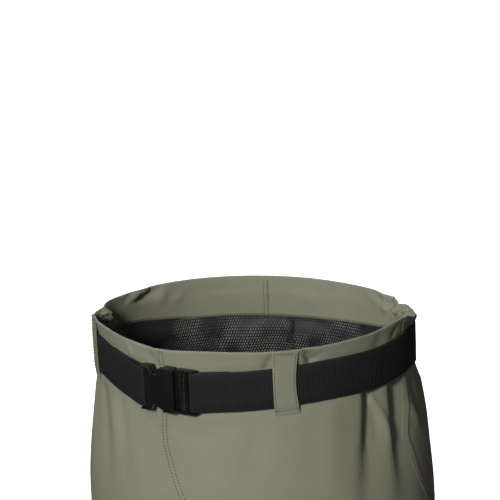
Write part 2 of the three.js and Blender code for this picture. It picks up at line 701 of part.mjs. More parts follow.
// The prongs and the frame behind them, in one piece. The rails of the frame slope down at their ends.
function prongsGeometry() {
  const outline = roundedOutline(frameStart, frameEnd, -halfHeight, halfHeight, BUCKLE_CORNER);
  const opening = boxBetween(
    [frameStart + FRAME_PLATE, -webbingSlot, -1],
    [frameEnd + 1, webbingSlot, frameFront + 1],
  );
  const slope = plate(
    [
      [frameEnd, backFace],
      [frameEnd + 1, backFace],
      [frameEnd + 1, frameFront + 1],
      [frameEnd - FRAME_CHAMFER, frameFront + 1],
      [frameEnd - FRAME_CHAMFER, frameFront],
    ],
    -BUCKLE_HEIGHT,
    BUCKLE_HEIGHT,
  ).rotateX(Math.PI / 2);
  const bars = [toothedBar, endBar].map(({ left, right, back, front }) =>
    boxBetween([left, -webbingSlot - 1, back], [right, webbingSlot + 1, front]),
  );
  const middle = backFace + SOCKET_THICKNESS / 2;
  const [low, high] = [middle - PRONG_THICKNESS / 2, middle + PRONG_THICKNESS / 2];
  const root = frameStart + 1;
  const tip = socketMouth - PRONG_REACH;
  const blade = boxBetween([tip + PRONG_WIDTH, -PRONG_WIDTH / 2, low], [root, PRONG_WIDTH / 2, high]);
  const tabStart = socketMouth - NOTCH_END - 0.8;
  const tabEnd = socketMouth - NOTCH_START + NOTCH_SLOPE + 1;
  const arms = [1, -1].map((side) => {
    const arm = [
      [root, side * PRONG_ROOT],
      [tabStart, side * PRONG_ROOT],
      [tabStart, side * (halfHeight - 2)],
      [tabStart - 2, side * (halfHeight - 1)],
      [mix(tabStart, tabEnd, 0.6), side * (halfHeight - 3)],
      [tabEnd, side * (halfHeight - NOTCH_DEPTH)],
      [tip, side * (PRONG_ROOT - 1)],
      [tip, side * (PRONG_ROOT - 3)],
      [tabEnd, side * (PRONG_ROOT - PRONG_WIDTH)],
      [root, side * (PRONG_ROOT - PRONG_WIDTH)],
    ];
    return plate(side > 0 ? arm : arm.reverse(), low, high);
  });
  const frame = cut(solidOf(plate(outline, backFace, frameFront)), [opening, slope]);
  return geometryFrom(joined(frame, [...bars, blade, ...arms]));
}

// The boots, drawn for the left foot: the toe towards -Y, the inner side towards -X.

const footLean = curveThrough(FOOT_LEAN, "along", "shift");
const heelBack = SHAFT_DEPTH / 2 + HEEL_OVERHANG;
const SEAT_TABLE = [
  { along: 0, z: HEEL_SEAT },
  { along: 0.25, z: HEEL_SEAT - 1 },
  { along: 0.5, z: mix(HEEL_SEAT, BALL_SEAT, 0.65) },
  { along: 0.7, z: BALL_SEAT },
  { along: 0.85, z: mix(BALL_SEAT, TOE_SEAT, 0.25) },
  { along: 1, z: TOE_SEAT },
];
const seatHeight = curveThrough(SEAT_TABLE, "along", "z");
const treadHeight = (along) => TOE_SPRING * Math.max((along - 0.68) / 0.32, 0) ** 2;
const footY = (along) => heelBack - FOOT_LENGTH * along;

// A point round one slice of the foot, grown outwards by a distance. Column 0 is the toe.
function footPoint(j, slice, grow = 0) {
  const turn = (2 * Math.PI * j) / LEG_COLUMNS;
  const local = (1 + Math.cos(turn)) / 2;
  const along = mix(slice.back - grow / FOOT_LENGTH, slice.front + grow / FOOT_LENGTH, local);
  const width = curveThrough(
    [
      { at: 0, half: slice.heel },
      { at: 0.33, half: slice.waist },
      { at: 0.7, half: slice.ball },
      { at: 1, half: slice.toe },
    ],
    "at",
    "half",
  );
  const half = (BALL_WIDTH / 2) * width(local) + grow;
  const x = half * Math.sign(Math.sin(turn)) * Math.abs(Math.sin(turn)) ** slice.square;
  return { x: x + BALL_WIDTH * slice.lean * footLean(along), y: footY(along), along };
}

function upperSlices() {
  const last = UPPER_SLICES[UPPER_SLICES.length - 1];
  const shaftHalf = SHAFT_WIDTH / BALL_WIDTH;
  const back = (heelBack - SHAFT_DEPTH / 2) / FOOT_LENGTH;
  const front = (heelBack + SHAFT_DEPTH / 2) / FOOT_LENGTH;
  const shaft = SHAFT_SHARES.map(({ rise, share }) => ({
    rise,
    back: mix(last.back, back, share),
    front: mix(last.front, front, share),
    heel: mix(last.heel, shaftHalf, share),
    waist: mix(last.waist, shaftHalf, share),
    ball: mix(last.ball, shaftHalf, share),
    toe: mix(last.toe, shaftHalf, share),
    square: 1,
    lean: 0,
  }));
  return [...UPPER_SLICES, ...shaft];
}

function bootGeometry() {
  const points = [];
  const rows = upperSlices().map((slice) =>
    Array.from({ length: LEG_COLUMNS }, (_, j) => {
      const { x, y, along } = footPoint(j, slice);
      const seat = seatHeight(along) + CLEARANCE;
      points.push(new THREE.Vector3(x, y, mix(seat, BOOT_HEIGHT, slice.rise)));
      return points.length - 1;
    }),
  );
  return shellGeometry(points, ringFaces(rows.reverse()), points.map(() => BOOT_WALL));
}

// One ring of the sole or insole, between the tread and the seat.
function soleRing(grow, heightAt) {
  return Array.from({ length: LEG_COLUMNS }, (_, j) => {
    const { x, y, along } = footPoint(j, UPPER_SLICES[0], grow);
    return new THREE.Vector3(x, y, heightAt(along));
  });
}

function insoleGeometry() {
  const grow = -BOOT_WALL - 2 * CLEARANCE;
  const base = (along) => seatHeight(along) + CLEARANCE;
  return stackGeometry([soleRing(grow, (a) => base(a) + INSOLE_THICKNESS), soleRing(grow, base)]);
}

// A groove across the tread or along it, following the tread's slope.
function groove(along, length, width) {
  const slope = Math.atan2(treadHeight(along + 0.01) - treadHeight(along - 0.01), 0.02 * FOOT_LENGTH);
  return new THREE.BoxGeometry(width, length, 2 * TREAD_DEPTH)
    .rotateX(-slope)
    .translate(BALL_WIDTH * footLean(along), footY(along), treadHeight(along));
}

function outsoleGeometry() {
  const rings = SOLE_SIDE.map(({ rise, out }) =>
    soleRing(WELT * out, (along) => mix(treadHeight(along), seatHeight(along), rise)),
  );
  const body = solidOf(stackGeometry(rings.reverse()));
  const crossings = TREAD_CROSSINGS.map((along) => groove(along, TREAD_GAP, 2 * BALL_WIDTH));
  const channels = TREAD_CHANNELS.map((along) => groove(along, CHANNEL_LENGTH * FOOT_LENGTH, TREAD_GAP));
  return geometryFrom(cut(body, [archCutter(), ...crossings, ...channels]));
}

// The hollow of the arch, between the heel's breast and the ball.
function archCutter() {
  const outline = [
    [-footY(ARCH.heel), -1],
    [-footY(ARCH.heelTop), ARCH_RISE],
    [-footY(ARCH.ballTop), ARCH_RISE],
    [-footY(ARCH.ball), -1],
  ];
  return plate(outline.reverse(), -BALL_WIDTH, BALL_WIDTH)
    .rotateX(Math.PI / 2)
    .rotateZ(-Math.PI / 2);
}

// Assembly

const cloth = new THREE.MeshStandardMaterial({ color: 0x76775f, roughness: 0.8, metalness: 0 });
const webbing = new THREE.MeshStandardMaterial({ color: 0x1c1c1c, roughness: 0.85, metalness: 0 });
const plastic = new THREE.MeshStandardMaterial({ color: 0x141414, roughness: 0.45, metalness: 0 });
const rubber = new THREE.MeshStandardMaterial({ color: 0x3c4034, roughness: 0.6, metalness: 0 });
const soleRubber = new THREE.MeshStandardMaterial({ color: 0x1f201c, roughness: 0.7, metalness: 0 });
const foam = new THREE.MeshStandardMaterial({ color: 0x2b2b2b, roughness: 0.9, metalness: 0 });

const wader = new THREE.Group();

function addMesh(name, geometry, material, parent = wader) {
  const mesh = new THREE.Mesh(geometry, material);
  mesh.name = name;
  parent.add(mesh);
}

addMesh("trousers_hips", hipsGeometry(), cloth);
addMesh("belt", webbingGeometry(beltRoute()), webbing);
for (let i = 0; i < LOOP_COUNT; i += 1) {
  addMesh(`belt_loop_${i + 1}`, loopGeometry(LOOP_FIRST_ANGLE + (360 / LOOP_COUNT) * i), cloth);
}

const buckle = new THREE.Group();
buckle.position.copy(buckleBase);
buckle.rotation.set(Math.PI / 2, 0, buckleTurn, "ZYX");
addMesh("buckle_socket", socketGeometry(), plastic, buckle);
addMesh("buckle_prongs", prongsGeometry(), plastic, buckle);
wader.add(buckle);

for (const [name, side] of [
  ["left", 1],
  ["right", -1],
]) {
  const leg = new THREE.Group();
  leg.scale.x = side;
  addMesh(`trousers_leg_${name}`, legGeometry(), cloth, leg);
  wader.add(leg);
  const boot = new THREE.Group();
  boot.position.x = (side * BOOT_SPREAD) / 2;
  boot.scale.x = side;
  addMesh(`boot_${name}`, bootGeometry(), rubber, boot);
  addMesh(`outsole_${name}`, outsoleGeometry(), soleRubber, boot);
  addMesh(`insole_${name}`, insoleGeometry(), foam, boot);
  wader.add(boot);
}

// The origin is under the middle of the whole object's box.
wader.updateMatrixWorld(true);
const box = new THREE.Box3().setFromObject(wader);
const centre = box.getCenter(new THREE.Vector3());
wader.position.set(-centre.x, -centre.y, -box.min.z);

export default wader;
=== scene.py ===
# Waist wader: coated cloth trousers with a mesh lining, sealed to rubber boots and held by a webbing belt.
import math

import bmesh
import bpy
import numpy as np
from mathutils import Matrix, Vector
from mathutils.bvhtree import BVHTree


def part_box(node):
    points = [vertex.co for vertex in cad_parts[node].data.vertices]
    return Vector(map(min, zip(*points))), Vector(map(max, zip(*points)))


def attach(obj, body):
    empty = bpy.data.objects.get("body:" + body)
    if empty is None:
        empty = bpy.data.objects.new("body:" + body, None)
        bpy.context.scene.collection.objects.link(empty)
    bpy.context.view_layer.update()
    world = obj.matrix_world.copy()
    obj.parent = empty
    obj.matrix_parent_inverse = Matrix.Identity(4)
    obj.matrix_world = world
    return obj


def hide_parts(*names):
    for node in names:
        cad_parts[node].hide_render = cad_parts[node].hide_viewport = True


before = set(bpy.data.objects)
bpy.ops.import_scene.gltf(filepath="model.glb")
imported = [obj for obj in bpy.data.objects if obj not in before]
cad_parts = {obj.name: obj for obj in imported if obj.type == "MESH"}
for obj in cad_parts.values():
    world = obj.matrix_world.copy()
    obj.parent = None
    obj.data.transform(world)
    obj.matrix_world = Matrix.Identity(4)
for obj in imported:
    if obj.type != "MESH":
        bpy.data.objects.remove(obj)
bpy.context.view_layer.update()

# Camera
# The picture is taken from the wearer's left of the front, a little above the waist, with a long lens.
RIM = 1.025  # front of the waist's rim over the floor
hips_low, hips_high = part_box("trousers_hips")
WAIST_X = (hips_low.x + hips_high.x) / 2
WAIST_Y = (hips_low.y + hips_high.y) / 2
CAMERA_TURN = math.radians(18)
CAMERA_LIFT = math.radians(16.5)
CAMERA_ROLL = math.radians(-2.7)
CAMERA_DISTANCE = 2.4
CAMERA_AIM = 0.0712  # over the rim, so that the waist sits low in the picture
LENS_MM = 151.7
SENSOR_MM = 36

turn, lift, roll = CAMERA_TURN, CAMERA_LIFT, CAMERA_ROLL
back = Vector((math.sin(turn) * math.cos(lift), -math.cos(turn) * math.cos(lift), math.sin(lift)))
right = Vector((math.cos(turn), math.sin(turn), 0))
up = back.cross(right)
rolled_right = right * math.cos(roll) + up * math.sin(roll)
rolled_up = up * math.cos(roll) - right * math.sin(roll)
camera_data = bpy.data.cameras.new("camera")
camera_data.lens = LENS_MM
camera_data.sensor_width = SENSOR_MM
camera = bpy.data.objects.new("camera", camera_data)
bpy.context.scene.collection.objects.link(camera)
camera.rotation_mode = "QUATERNION"
camera.rotation_quaternion = Matrix((rolled_right, rolled_up, back)).transposed().to_quaternion()
camera.location = Vector((WAIST_X, WAIST_Y, RIM + CAMERA_AIM)) + back * CAMERA_DISTANCE
bpy.context.scene.camera = camera


# Floor and light
# A white studio: a pale floor and a far white backdrop that only the camera sees, one soft light from high
# in front, and weaker ones from low at the wearer's left, from above and from behind.
def link(mesh, name):
    made = bpy.data.objects.new(name, mesh)
    bpy.context.scene.collection.objects.link(made)
    return made


FLOOR_SIZE = 60
BACKDROP_RADIUS = 45
floor_mesh = bmesh.new()
bmesh.ops.create_grid(floor_mesh, x_segments=1, y_segments=1, size=FLOOR_SIZE / 2)
backdrop_mesh = bmesh.new()
bmesh.ops.create_icosphere(backdrop_mesh, subdivisions=3, radius=BACKDROP_RADIUS)
for made, name, glow in ((floor_mesh, "floor", 0.95), (backdrop_mesh, "backdrop", 1.15)):
    staged = link(bpy.data.meshes.new(name), name)
    made.to_mesh(staged.data)
    made.free()
    staged_paint = bpy.data.materials.new(name + "_paint")
    staged_paint.use_nodes = True
    staged_shader = staged_paint.node_tree.nodes["Principled BSDF"]
    staged_shader.inputs["Base Color"].default_value = (0.9, 0.9, 0.9, 1)
    staged_shader.inputs["Roughness"].default_value = 0.9
    staged_shader.inputs["Emission Color"].default_value = (1, 1, 1, 1)
    staged_shader.inputs["Emission Strength"].default_value = glow
    staged.data.materials.append(staged_paint)
    staged.visible_diffuse = False
    staged.visible_glossy = False
    staged.visible_shadow = False


def area_light(name, place, aim, size, power):
    data = bpy.data.lights.new(name, "AREA")
    data.shape = "DISK"
    data.size = size
    data.energy = power
    made = link(data, name)
    made.location = place
    made.rotation_mode = "QUATERNION"
    made.rotation_quaternion = (Vector(aim) - Vector(place)).to_track_quat("-Z", "Y")
    return made


LIGHT_AIM = (WAIST_X, WAIST_Y, 0.9)
area_light("key", (-0.4, -3.1, 2.5), LIGHT_AIM, 0.8, 153)
area_light("fill", (1.9, -1.85, 0.35), LIGHT_AIM, 0.35, 4)
area_light("top", (-1.4, -0.55, 3.1), LIGHT_AIM, 0.24, 15)
area_light("rear", (-0.8, 2.8, 2.1), LIGHT_AIM, 1.4, 50)

WORLD_LIGHT = 0.09
world = bpy.data.worlds.new("studio")
bpy.context.scene.world = world
world.use_nodes = True
world.node_tree.nodes["Background"].inputs["Color"].default_value = (1, 1, 1, 1)
world.node_tree.nodes["Background"].inputs["Strength"].default_value = WORLD_LIGHT
bpy.context.scene.view_settings.view_transform = "Standard"


# Shader writing
# Every finish below is built from nodes. A wrapper round a socket lets sums and products of nodes be written
# as sums and products.
class Value:
    def __init__(self, paint, socket):
        self.paint = paint
        self.socket = socket

    def math(self, operation, other=None, swapped=False):
        values = [self] if other is None else [self, other]
        if swapped:
            values.reverse()
        return self.paint.node("ShaderNodeMath", {"operation": operation}, *values)

    def __add__(self, other):
        return self.math("ADD", other)

    def __radd__(self, other):
        return self.math("ADD", other)

    def __sub__(self, other):
        return self.math("SUBTRACT", other)

    def __rsub__(self, other):
        return self.math("SUBTRACT", other, swapped=True)

    def __mul__(self, other):
        return self.math("MULTIPLY", other)

    def __rmul__(self, other):
        return self.math("MULTIPLY", other)

    def wave(self):
        return self.math("SINE")

    def fraction(self):
        return self.math("FRACT")

    def whole(self):
        return self.math("FLOOR")

    def smooth(self, low, high):
        settings = {"interpolation_type": "SMOOTHSTEP", "clamp": True}
        return self.paint.node("ShaderNodeMapRange", settings, self, low, high, 0.0, 1.0)


class Paint:
    def __init__(self, name, roughness=0.8, **fixed):
        self.material = bpy.data.materials.new(name)
        self.material.use_nodes = True
        self.tree = self.material.node_tree
        self.shader = self.tree.nodes["Principled BSDF"]
        self.shader.inputs["Roughness"].default_value = roughness
        for key, value in fixed.items():
            self.shader.inputs[key.replace("_", " ")].default_value = value

    def node(self, kind, settings, *values, output=0, **named):
        made = self.tree.nodes.new(kind)
        for key, value in settings.items():
            setattr(made, key, value)
        for place, value in [*enumerate(values), *named.items()]:
            socket = made.inputs[place.replace("_", " ") if isinstance(place, str) else place]
            if isinstance(value, Value):
                self.tree.links.new(value.socket, socket)
            else:
                socket.default_value = value
        return Value(self, made.outputs[output])

    def place(self):
        return self.node("ShaderNodeTexCoord", {}, output="Object")

    def attribute(self, name):
        return self.node("ShaderNodeAttribute", {"attribute_name": name}, output="Fac")

    def parts(self, vector):
        made = self.tree.nodes.new("ShaderNodeSeparateXYZ")
        self.tree.links.new(vector.socket, made.inputs[0])
        return [Value(self, made.outputs[i]) for i in range(3)]

    def noise(self, vector, scale, detail=2.0, roughness=0.5):
        return self.node("ShaderNodeTexNoise", {}, vector, Scale=scale, Detail=detail, Roughness=roughness)

    def blend(self, share, low, high):
        made = self.tree.nodes.new("ShaderNodeMix")
        made.data_type = "RGBA"
        for socket, value in ((made.inputs[0], share), (made.inputs[6], low), (made.inputs[7], high)):
            if isinstance(value, Value):
                self.tree.links.new(value.socket, socket)
            else:
                socket.default_value = value
        return Value(self, made.outputs[2])

    def bump(self, height, distance, strength=1.0, normal=None):
        named = {"Height": height, "Distance": distance, "Strength": strength}
        if normal is not None:
            named["Normal"] = normal
        return self.node("ShaderNodeBump", {}, **named)

    def feed(self, socket, value):
        self.tree.links.new(value.socket, self.shader.inputs[socket])


# Trousers
# Coated nylon sewn from two legs. The cloth is gathered by the belt, so it hangs in soft folds under it, and
# up to 49 mm at the top are turned in as a hem over the mesh lining.
JOIN_GAP = 0.0004  # a little more than the gap between the solids of the hips and the legs
WIDEST_WALL = 0.0045
STEEPEST = 0.75  # rise of an edge across the wall, as a share of its length
QUAD_BEND = math.radians(50)
QUAD_SKEW = math.radians(60)


def merged_copy(node):
    """A solid as a bmesh with shared corners."""
    made = bmesh.new()
    made.from_mesh(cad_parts[node].data)
    bmesh.ops.remove_doubles(made, verts=made.verts, dist=1e-5)
    return made


def crosses_wall(edge):
    length = edge.calc_length()
    return length < WIDEST_WALL and abs(edge.verts[0].co.z - edge.verts[1].co.z) < STEEPEST * length


def outer_skin(made):
    """Leaves only the outer surface of a shell whose two walls are joined by narrow edges."""
    walls = {edge for edge in made.edges if crosses_wall(edge)}
    crossing = [face for face in made.faces if walls.intersection(face.edges)]
    bmesh.ops.delete(made, geom=crossing, context="FACES_ONLY")
    outer, waiting = set(), [max(made.faces, key=lambda face: abs(face.calc_center_median().x))]
    while waiting:
        face = waiting.pop()
        if face not in outer:
            outer.add(face)
            waiting += [other for edge in face.edges for other in edge.link_faces if other not in outer]
    bmesh.ops.delete(made, geom=[face for face in made.faces if face not in outer], context="FACES")


def to_quads(made):
    bmesh.ops.join_triangles(
        made,
        faces=made.faces,
        angle_face_threshold=QUAD_BEND,
        angle_shape_threshold=QUAD_SKEW,
    )


def smoothed(made, name, levels):
    """A new mesh of a bmesh, rounded by subdivision."""
    rough = link(bpy.data.meshes.new(name), name)
    made.to_mesh(rough.data)
    made.free()
    rounding = rough.modifiers.new("rounding", "SUBSURF")
    rounding.levels = rounding.render_levels = levels
    fine = bpy.data.meshes.new_from_object(rough.evaluated_get(bpy.context.evaluated_depsgraph_get()))
    bpy.data.objects.remove(rough)
    return fine


def mesh_of(made, name):
    mesh = bpy.data.meshes.new(name)
    made.to_mesh(mesh)
    made.free()
    return mesh


def show(mesh, name, slot, paint, *nodes):
    """Puts a finished piece in the scene, smooth shaded and with its finish, and hides the solids it stands
    for.
    """
    piece = link(mesh, name)
    mesh.shade_smooth()
    mesh.materials.clear()
    mesh.materials.append(paint.material)
    if nodes:
        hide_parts(*nodes)
    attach(piece, "root")
    return piece


TROUSER_SOLIDS = ("trousers_hips", "trousers_leg_left", "trousers_leg_right")
skin = bmesh.new()
for node in TROUSER_SOLIDS:
    shell = merged_copy(node)
    outer_skin(shell)
    part = mesh_of(shell, node + "_skin")
    skin.from_mesh(part)
    bpy.data.meshes.remove(part)
bmesh.ops.remove_doubles(skin, verts=skin.verts, dist=JOIN_GAP)
to_quads(skin)
plain_cloth = smoothed(skin, "plain_cloth", 2)

# The waist is an oval. A place on it is an angle in degrees, from the front towards the wearer's left,
# and a height in mm over the front of the rim.
WAIST_HALF_WIDTH = 0.186
WAIST_HALF_DEPTH = 0.150
WAIST_REACH = 168  # mean radius of the waist, in mm


def tree_of(mesh):
    made = bmesh.new()
    made.from_mesh(mesh)
    tree = BVHTree.FromBMesh(made)
    made.free()
    return tree


def corners_of(mesh):
    places = np.empty(len(mesh.vertices) * 3)
    mesh.vertices.foreach_get("co", places)
    return places.reshape(-1, 3)


def angles_of(places):
    across = (places[:, 0] - WAIST_X) / WAIST_HALF_WIDTH
    ahead = (WAIST_Y - places[:, 1]) / WAIST_HALF_DEPTH
    return np.degrees(np.arctan2(across, ahead))


def level_curve(places):
    """Angles and heights of a line round the waist, for reading a height at any angle."""
    angles = angles_of(places)
    order = np.argsort(angles)
    return angles[order], places[order, 2]


def level(curve, angle):
    return np.interp(angle, *curve, period=360)


BELT_MIDDLE = 0.984
RIM_LOWEST = 0.995
rim_probe = bmesh.new()
rim_probe.from_mesh(plain_cloth)
rim_corners = [tuple(v.co) for v in rim_probe.verts if v.is_boundary and v.co.z > RIM_LOWEST]
rim_probe.free()
rim_curve = level_curve(np.array(rim_corners))
belt_corners = corners_of(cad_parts["belt"].data)
belt_top_curve = level_curve(belt_corners[belt_corners[:, 2] > BELT_MIDDLE])
belt_foot_curve = level_curve(belt_corners[belt_corners[:, 2] < BELT_MIDDLE])
plain_tree = tree_of(plain_cloth)
RIM_MARGIN = 0.0015


def waist_place(tree, angle, height):
    """The point of the cloth at a place on the waist, and the cloth's normal there."""
    turned = math.radians(angle)
    ray = Vector((math.sin(turned) * WAIST_HALF_WIDTH, -math.cos(turned) * WAIST_HALF_DEPTH, 0))
    top = float(level(rim_curve, angle)) - RIM_MARGIN
    start = Vector((WAIST_X, WAIST_Y, min(RIM + height / 1000, top)))
    return tree.ray_cast(start, ray.normalized())[:2]


LEG_X = 0.100
LEG_Y = 0.030


def leg_place(tree, side, angle, height):
    """The point of a leg's cloth at an angle round the leg, from its front towards its outer side."""
    ray = Vector((side * math.sin(math.radians(angle)), -math.cos(math.radians(angle)), 0))
    return tree.ray_cast(Vector((side * LEG_X, LEG_Y, height / 1000)), ray)[:2]


# Folds of the waist: rows of angle, height, half width and push (in, below 0), in mm, and the share by which
# a fold is wider towards the wearer's left
WAIST_FOLDS = (
    ((56.6, -54, 11, -6, 0.5), (56.5, -62, 11, -8, 0.5), (56.2, -76, 12, -9, 0.5), (55, -95, 13, -9, 0.5),
     (53.3, -122, 15, -8, 0.5), (51, -190, 22, -3, 0.3), (49, -230, 24, 0, 0)),
    ((56.2, -57, 2.2, -5), (57.6, -68, 2.4, -6), (58.6, -73, 2, 0)),
    ((58, -60, 3, 2), (60, -75, 3.2, 3), (62, -87, 3.6, 3), (63.5, -102, 4, 3), (64.5, -120, 5, 2.5),
     (65, -190, 10, 0)),
    ((70.5, -53, 10, -5, 0.5), (70.3, -62, 11, -8, 0.5), (69.8, -80, 12, -9, 0.5), (69, -100, 13, -8, 0.5),
     (67.5, -125, 14, -7, 0.5), (68, -190, 20, -2, 0.3), (70, -230, 24, 0, 0)),
    ((59.5, -82, 3, 0), (59.4, -92, 3, -1.2), (59, -113, 4, -1.2), (58, -135, 4, 0)),
    ((78, -88, 6, 0), (82, -104, 7, 2.6), (91, -144, 9, 2.6), (98, -190, 12, 0)),
    ((86, -62, 5, 0), (85, -75, 6, -2.5), (88, -105, 8, -2.5), (96, -150, 12, 0)),
    ((42, -62, 8, 0), (40, -85, 12, 1.6), (38, -140, 16, 1.6), (36, -200, 20, 0)),
    ((-58, -64, 7, 0), (-55, -78, 9, -2.8), (-51, -105, 10, -2.8), (-48, -130, 12, -2.2), (-44, -200, 16, 0)),
    ((-42, -66, 6, 0), (-40.5, -80, 7, -1.8), (-38, -117, 9, -2.2), (-36, -180, 14, 0)),
    ((-48, -64, 8, 0), (-46.5, -85, 9, 1.6), (-43, -120, 10, 1.8), (-40, -180, 14, 0)),
    ((-68, -60, 6, 0), (-66, -80, 9, 2), (-64, -130, 12, 2), (-60, -200, 16, 0)),
    ((-20, -80, 8, 0), (-12, -110, 14, 1.2), (-8, -160, 18, 0)),
    ((12, -72, 8, 0), (14, -100, 12, -1.2), (10, -160, 16, -1.5), (4, -210, 18, 0)),
    ((-35.5, -7, 3, 0.8), (-34, -14, 3.5, 1.8), (-32.5, -21, 3.5, 1.2)),
    ((-24.5, -9, 3, -0.8), (-23.5, -15, 4, -2.2), (-22, -22, 4, -1.6)),
    ((20.8, -1, 3, -0.8), (19.6, -9, 4, -3), (18.4, -18, 4.5, -3)),
    ((31.6, -1, 4, -2.5, 0.4), (32.6, -8, 5.5, -6, 0.4), (33.6, -15, 6.5, -6.5, 0.4)),
    ((38.5, -2, 1.6, -0.6), (34, -13, 2, -2.6)),
    ((63, 4, 8, -0.6), (63, -5, 9, -1.8)),
    ((75, 6, 2.2, -1), (71, -4, 2.6, -2)),
    ((100, -66, 6, 0), (103, -85, 8, 3), (108, -130, 12, 3), (112, -200, 18, 0)),
    ((116, -66, 6, 0), (118, -85, 8, -4), (121, -140, 13, -3.5), (124, -210, 18, 0)),
    ((133, -70, 7, 0), (134, -92, 9, 3), (136, -150, 14, 2.5), (138, -210, 18, 0)),
    ((150, -72, 7, 0), (149, -95, 9, -3), (147, -150, 13, -3), (144, -210, 18, 0)),
    ((170, -74, 7, 0), (168, -95, 10, 2), (165, -150, 15, 2), (162, -210, 18, 0)),
    ((203, -74, 6, 0), (206, -95, 9, -3), (211, -150, 13, -3), (216, -210, 18, 0)),
    ((222, -72, 7, 0), (223, -92, 9, 2.5), (226, -150, 14, 2.5), (228, -210, 18, 0)),
    ((240, -68, 6, 0), (241, -86, 8, -4), (243, -140, 12, -3), (246, -210, 18, 0)),
    ((258, -66, 6, 0), (257, -84, 8, 3), (255, -130, 12, 2.5), (252, -200, 16, 0)),
    ((272, -64, 6, 0), (273, -82, 8, -3), (276, -130, 12, -3), (280, -200, 16, 0)),
    ((231, -8, 5, 1, -0.4), (237, -14, 6, 5, -0.4), (243, -22, 7, 7, -0.4), (250, -30, 6, 4, -0.4)),
    ((236, -4, 3, -0.5), (241, -9, 4, -3.5), (247, -13, 4, -3), (252, -17, 3, -0.5)),
    ((272, -19, 11, -6, -0.4), (271, -27, 13, -8, -0.4), (270, -36, 12, -6, -0.4)),
    ((132.2, -15, 1.4, 1), (131, -17, 1.5, 2.6), (130.5, -35, 1.3, 2)),
    ((129.5, -14, 1.4, -1.4), (129.5, -18, 1.5, -2.6), (129, -34, 1.3, -2)),
    ((128, -17, 1.3, 1), (128, -20, 1.5, 2.8), (127.5, -32, 1.3, 2)),
    ((123.5, -14, 2, -2), (124.5, -17, 2, -3), (126.6, -31, 1.4, -2)),
    ((120, -12, 1.5, 1.6), (121, -14, 1.7, 3), (126, -29, 1.4, 2.4)),
    ((117, -11, 2, -2), (118, -13, 2, -3), (124.2, -28.5, 1.4, -2)),
    ((114, -10, 1.5, 1.6), (115, -12.5, 1.7, 3), (122.5, -28.5, 1.4, 2.4)),
    ((241, -4, 2.5, 0.5), (247, -9, 3, 2), (252, -14, 3, 1)),
    ((230, -5, 5, -0.3), (231, -18, 6, -1.6), (234, -26, 6, -1)),
    ((221.5, -18, 4, -0.5), (225.5, -28, 5, -1.4)),
    ((144, -7, 3, 0.5), (138, -15, 4, 3), (131, -22, 4, 2)),
    ((147, -12, 4, -0.3), (141, -20, 5, -1.8), (134, -27, 4, -1)),
    ((178, -20, 7, -0.3), (172, -34, 8, -1.2)),
    ((208, -16, 8, 0.3), (203, -30, 9, 1.2)),
)
# Gathers over the belt at the two sides: rows of angle at the belt, angle at the rim and push in mm
GATHERS = (
    (-91, -90, -4), (-86, -84.5, 5), (-81.5, -79, -4.6), (-77, -73.5, 3.4), (-72.5, -68, -2),
    (87, 85, -1.6), (92, 91, 2.4), (98, 98, -3), (103.5, 104, 3), (108.5, 109, -4.4), (113, 114, 4.4),
    (117.5, 118.5, -4), (121.5, 121.5, 3.4), (125.5, 126, -4.6), (129.5, 131.5, 3.6), (134.5, 137.5, -3),
)
# Small curls of the cloth over the belt at the wearer's right: rows as for the folds
CURLS = (
    ((-94, -26, 1.8, -1), (-88, -19.5, 2, -4), (-80, -14.5, 2, -4), (-73, -11, 1.8, -1)),
    ((-95, -22, 1.8, 1), (-88, -16, 2, 4), (-80, -11.5, 2, 4), (-74, -8.5, 1.8, 1)),
    ((-96, -18, 1.8, -1), (-88, -12.5, 2, -4), (-80, -8.5, 2, -4), (-75, -6.5, 1.6, -1)),
)
# How far the gathers draw the rim down: rows of angle and lift (down, below 0) in mm
RIM_LIFT = (
    (-130, 0), (-100, -1), (-95, -2), (-90, -4.5), (-84, -7), (-80, -6), (-74, -2), (-66, 0),
    (50, 0), (58, -1), (66, -0.6), (72, 0), (77, -0.4), (83, -2), (89, -5.5), (95, -10),
    (103, -8), (108, -6), (113, -7), (119.5, -4), (125.5, -7), (131, -2), (137, -2), (145, 0),
)
# Folds of the legs: rows of angle round the leg, height over the floor, half width and push in mm
LEG_FOLDS = (
    ((-60, 548, 8, 0), (-25, 532, 10, -4), (15, 520, 12, -5), (60, 524, 9, 0)),
    ((-50, 500, 8, 0), (-10, 496, 11, -4), (35, 486, 10, -4), (80, 490, 8, 0)),
    ((-45, 525, 9, 0), (0, 508, 11, 3.5), (45, 504, 10, 2), (70, 508, 8, 0)),
    ((120, 535, 8, 0), (160, 516, 11, -5), (200, 512, 12, -6), (240, 530, 9, 0)),
    ((130, 495, 8, 0), (170, 486, 10, -5), (215, 492, 10, -4), (250, 505, 8, 0)),
    ((20, 640, 12, 0), (35, 600, 15, -3), (50, 560, 14, 0)),
    ((-30, 720, 14, 0), (-15, 660, 16, -3), (0, 590, 16, 0)),
    ((100, 700, 16, 0), (110, 620, 18, 3), (115, 550, 14, 0)),
    ((-70, 410, 8, 0), (-20, 392, 11, -4), (40, 400, 10, -3), (80, 412, 8, 0)),
    ((100, 425, 8, 0), (150, 402, 11, -5), (200, 396, 11, -4), (240, 410, 8, 0)),
    ((-90, 362, 8, 0), (-40, 346, 10, -4), (20, 342, 11, -5), (70, 356, 8, 0)),
    ((110, 372, 8, 0), (160, 352, 10, -4), (220, 350, 10, -4), (255, 362, 8, 0)),
    ((-60, 368, 8, 0), (0, 364, 10, 3), (60, 374, 8, 0)),
    ((140, 330, 6, 0), (190, 322, 8, -3), (240, 328, 6, 0)),
    ((-60, 318, 6, 0), (0, 310, 8, -3), (60, 318, 6, 0)),
)


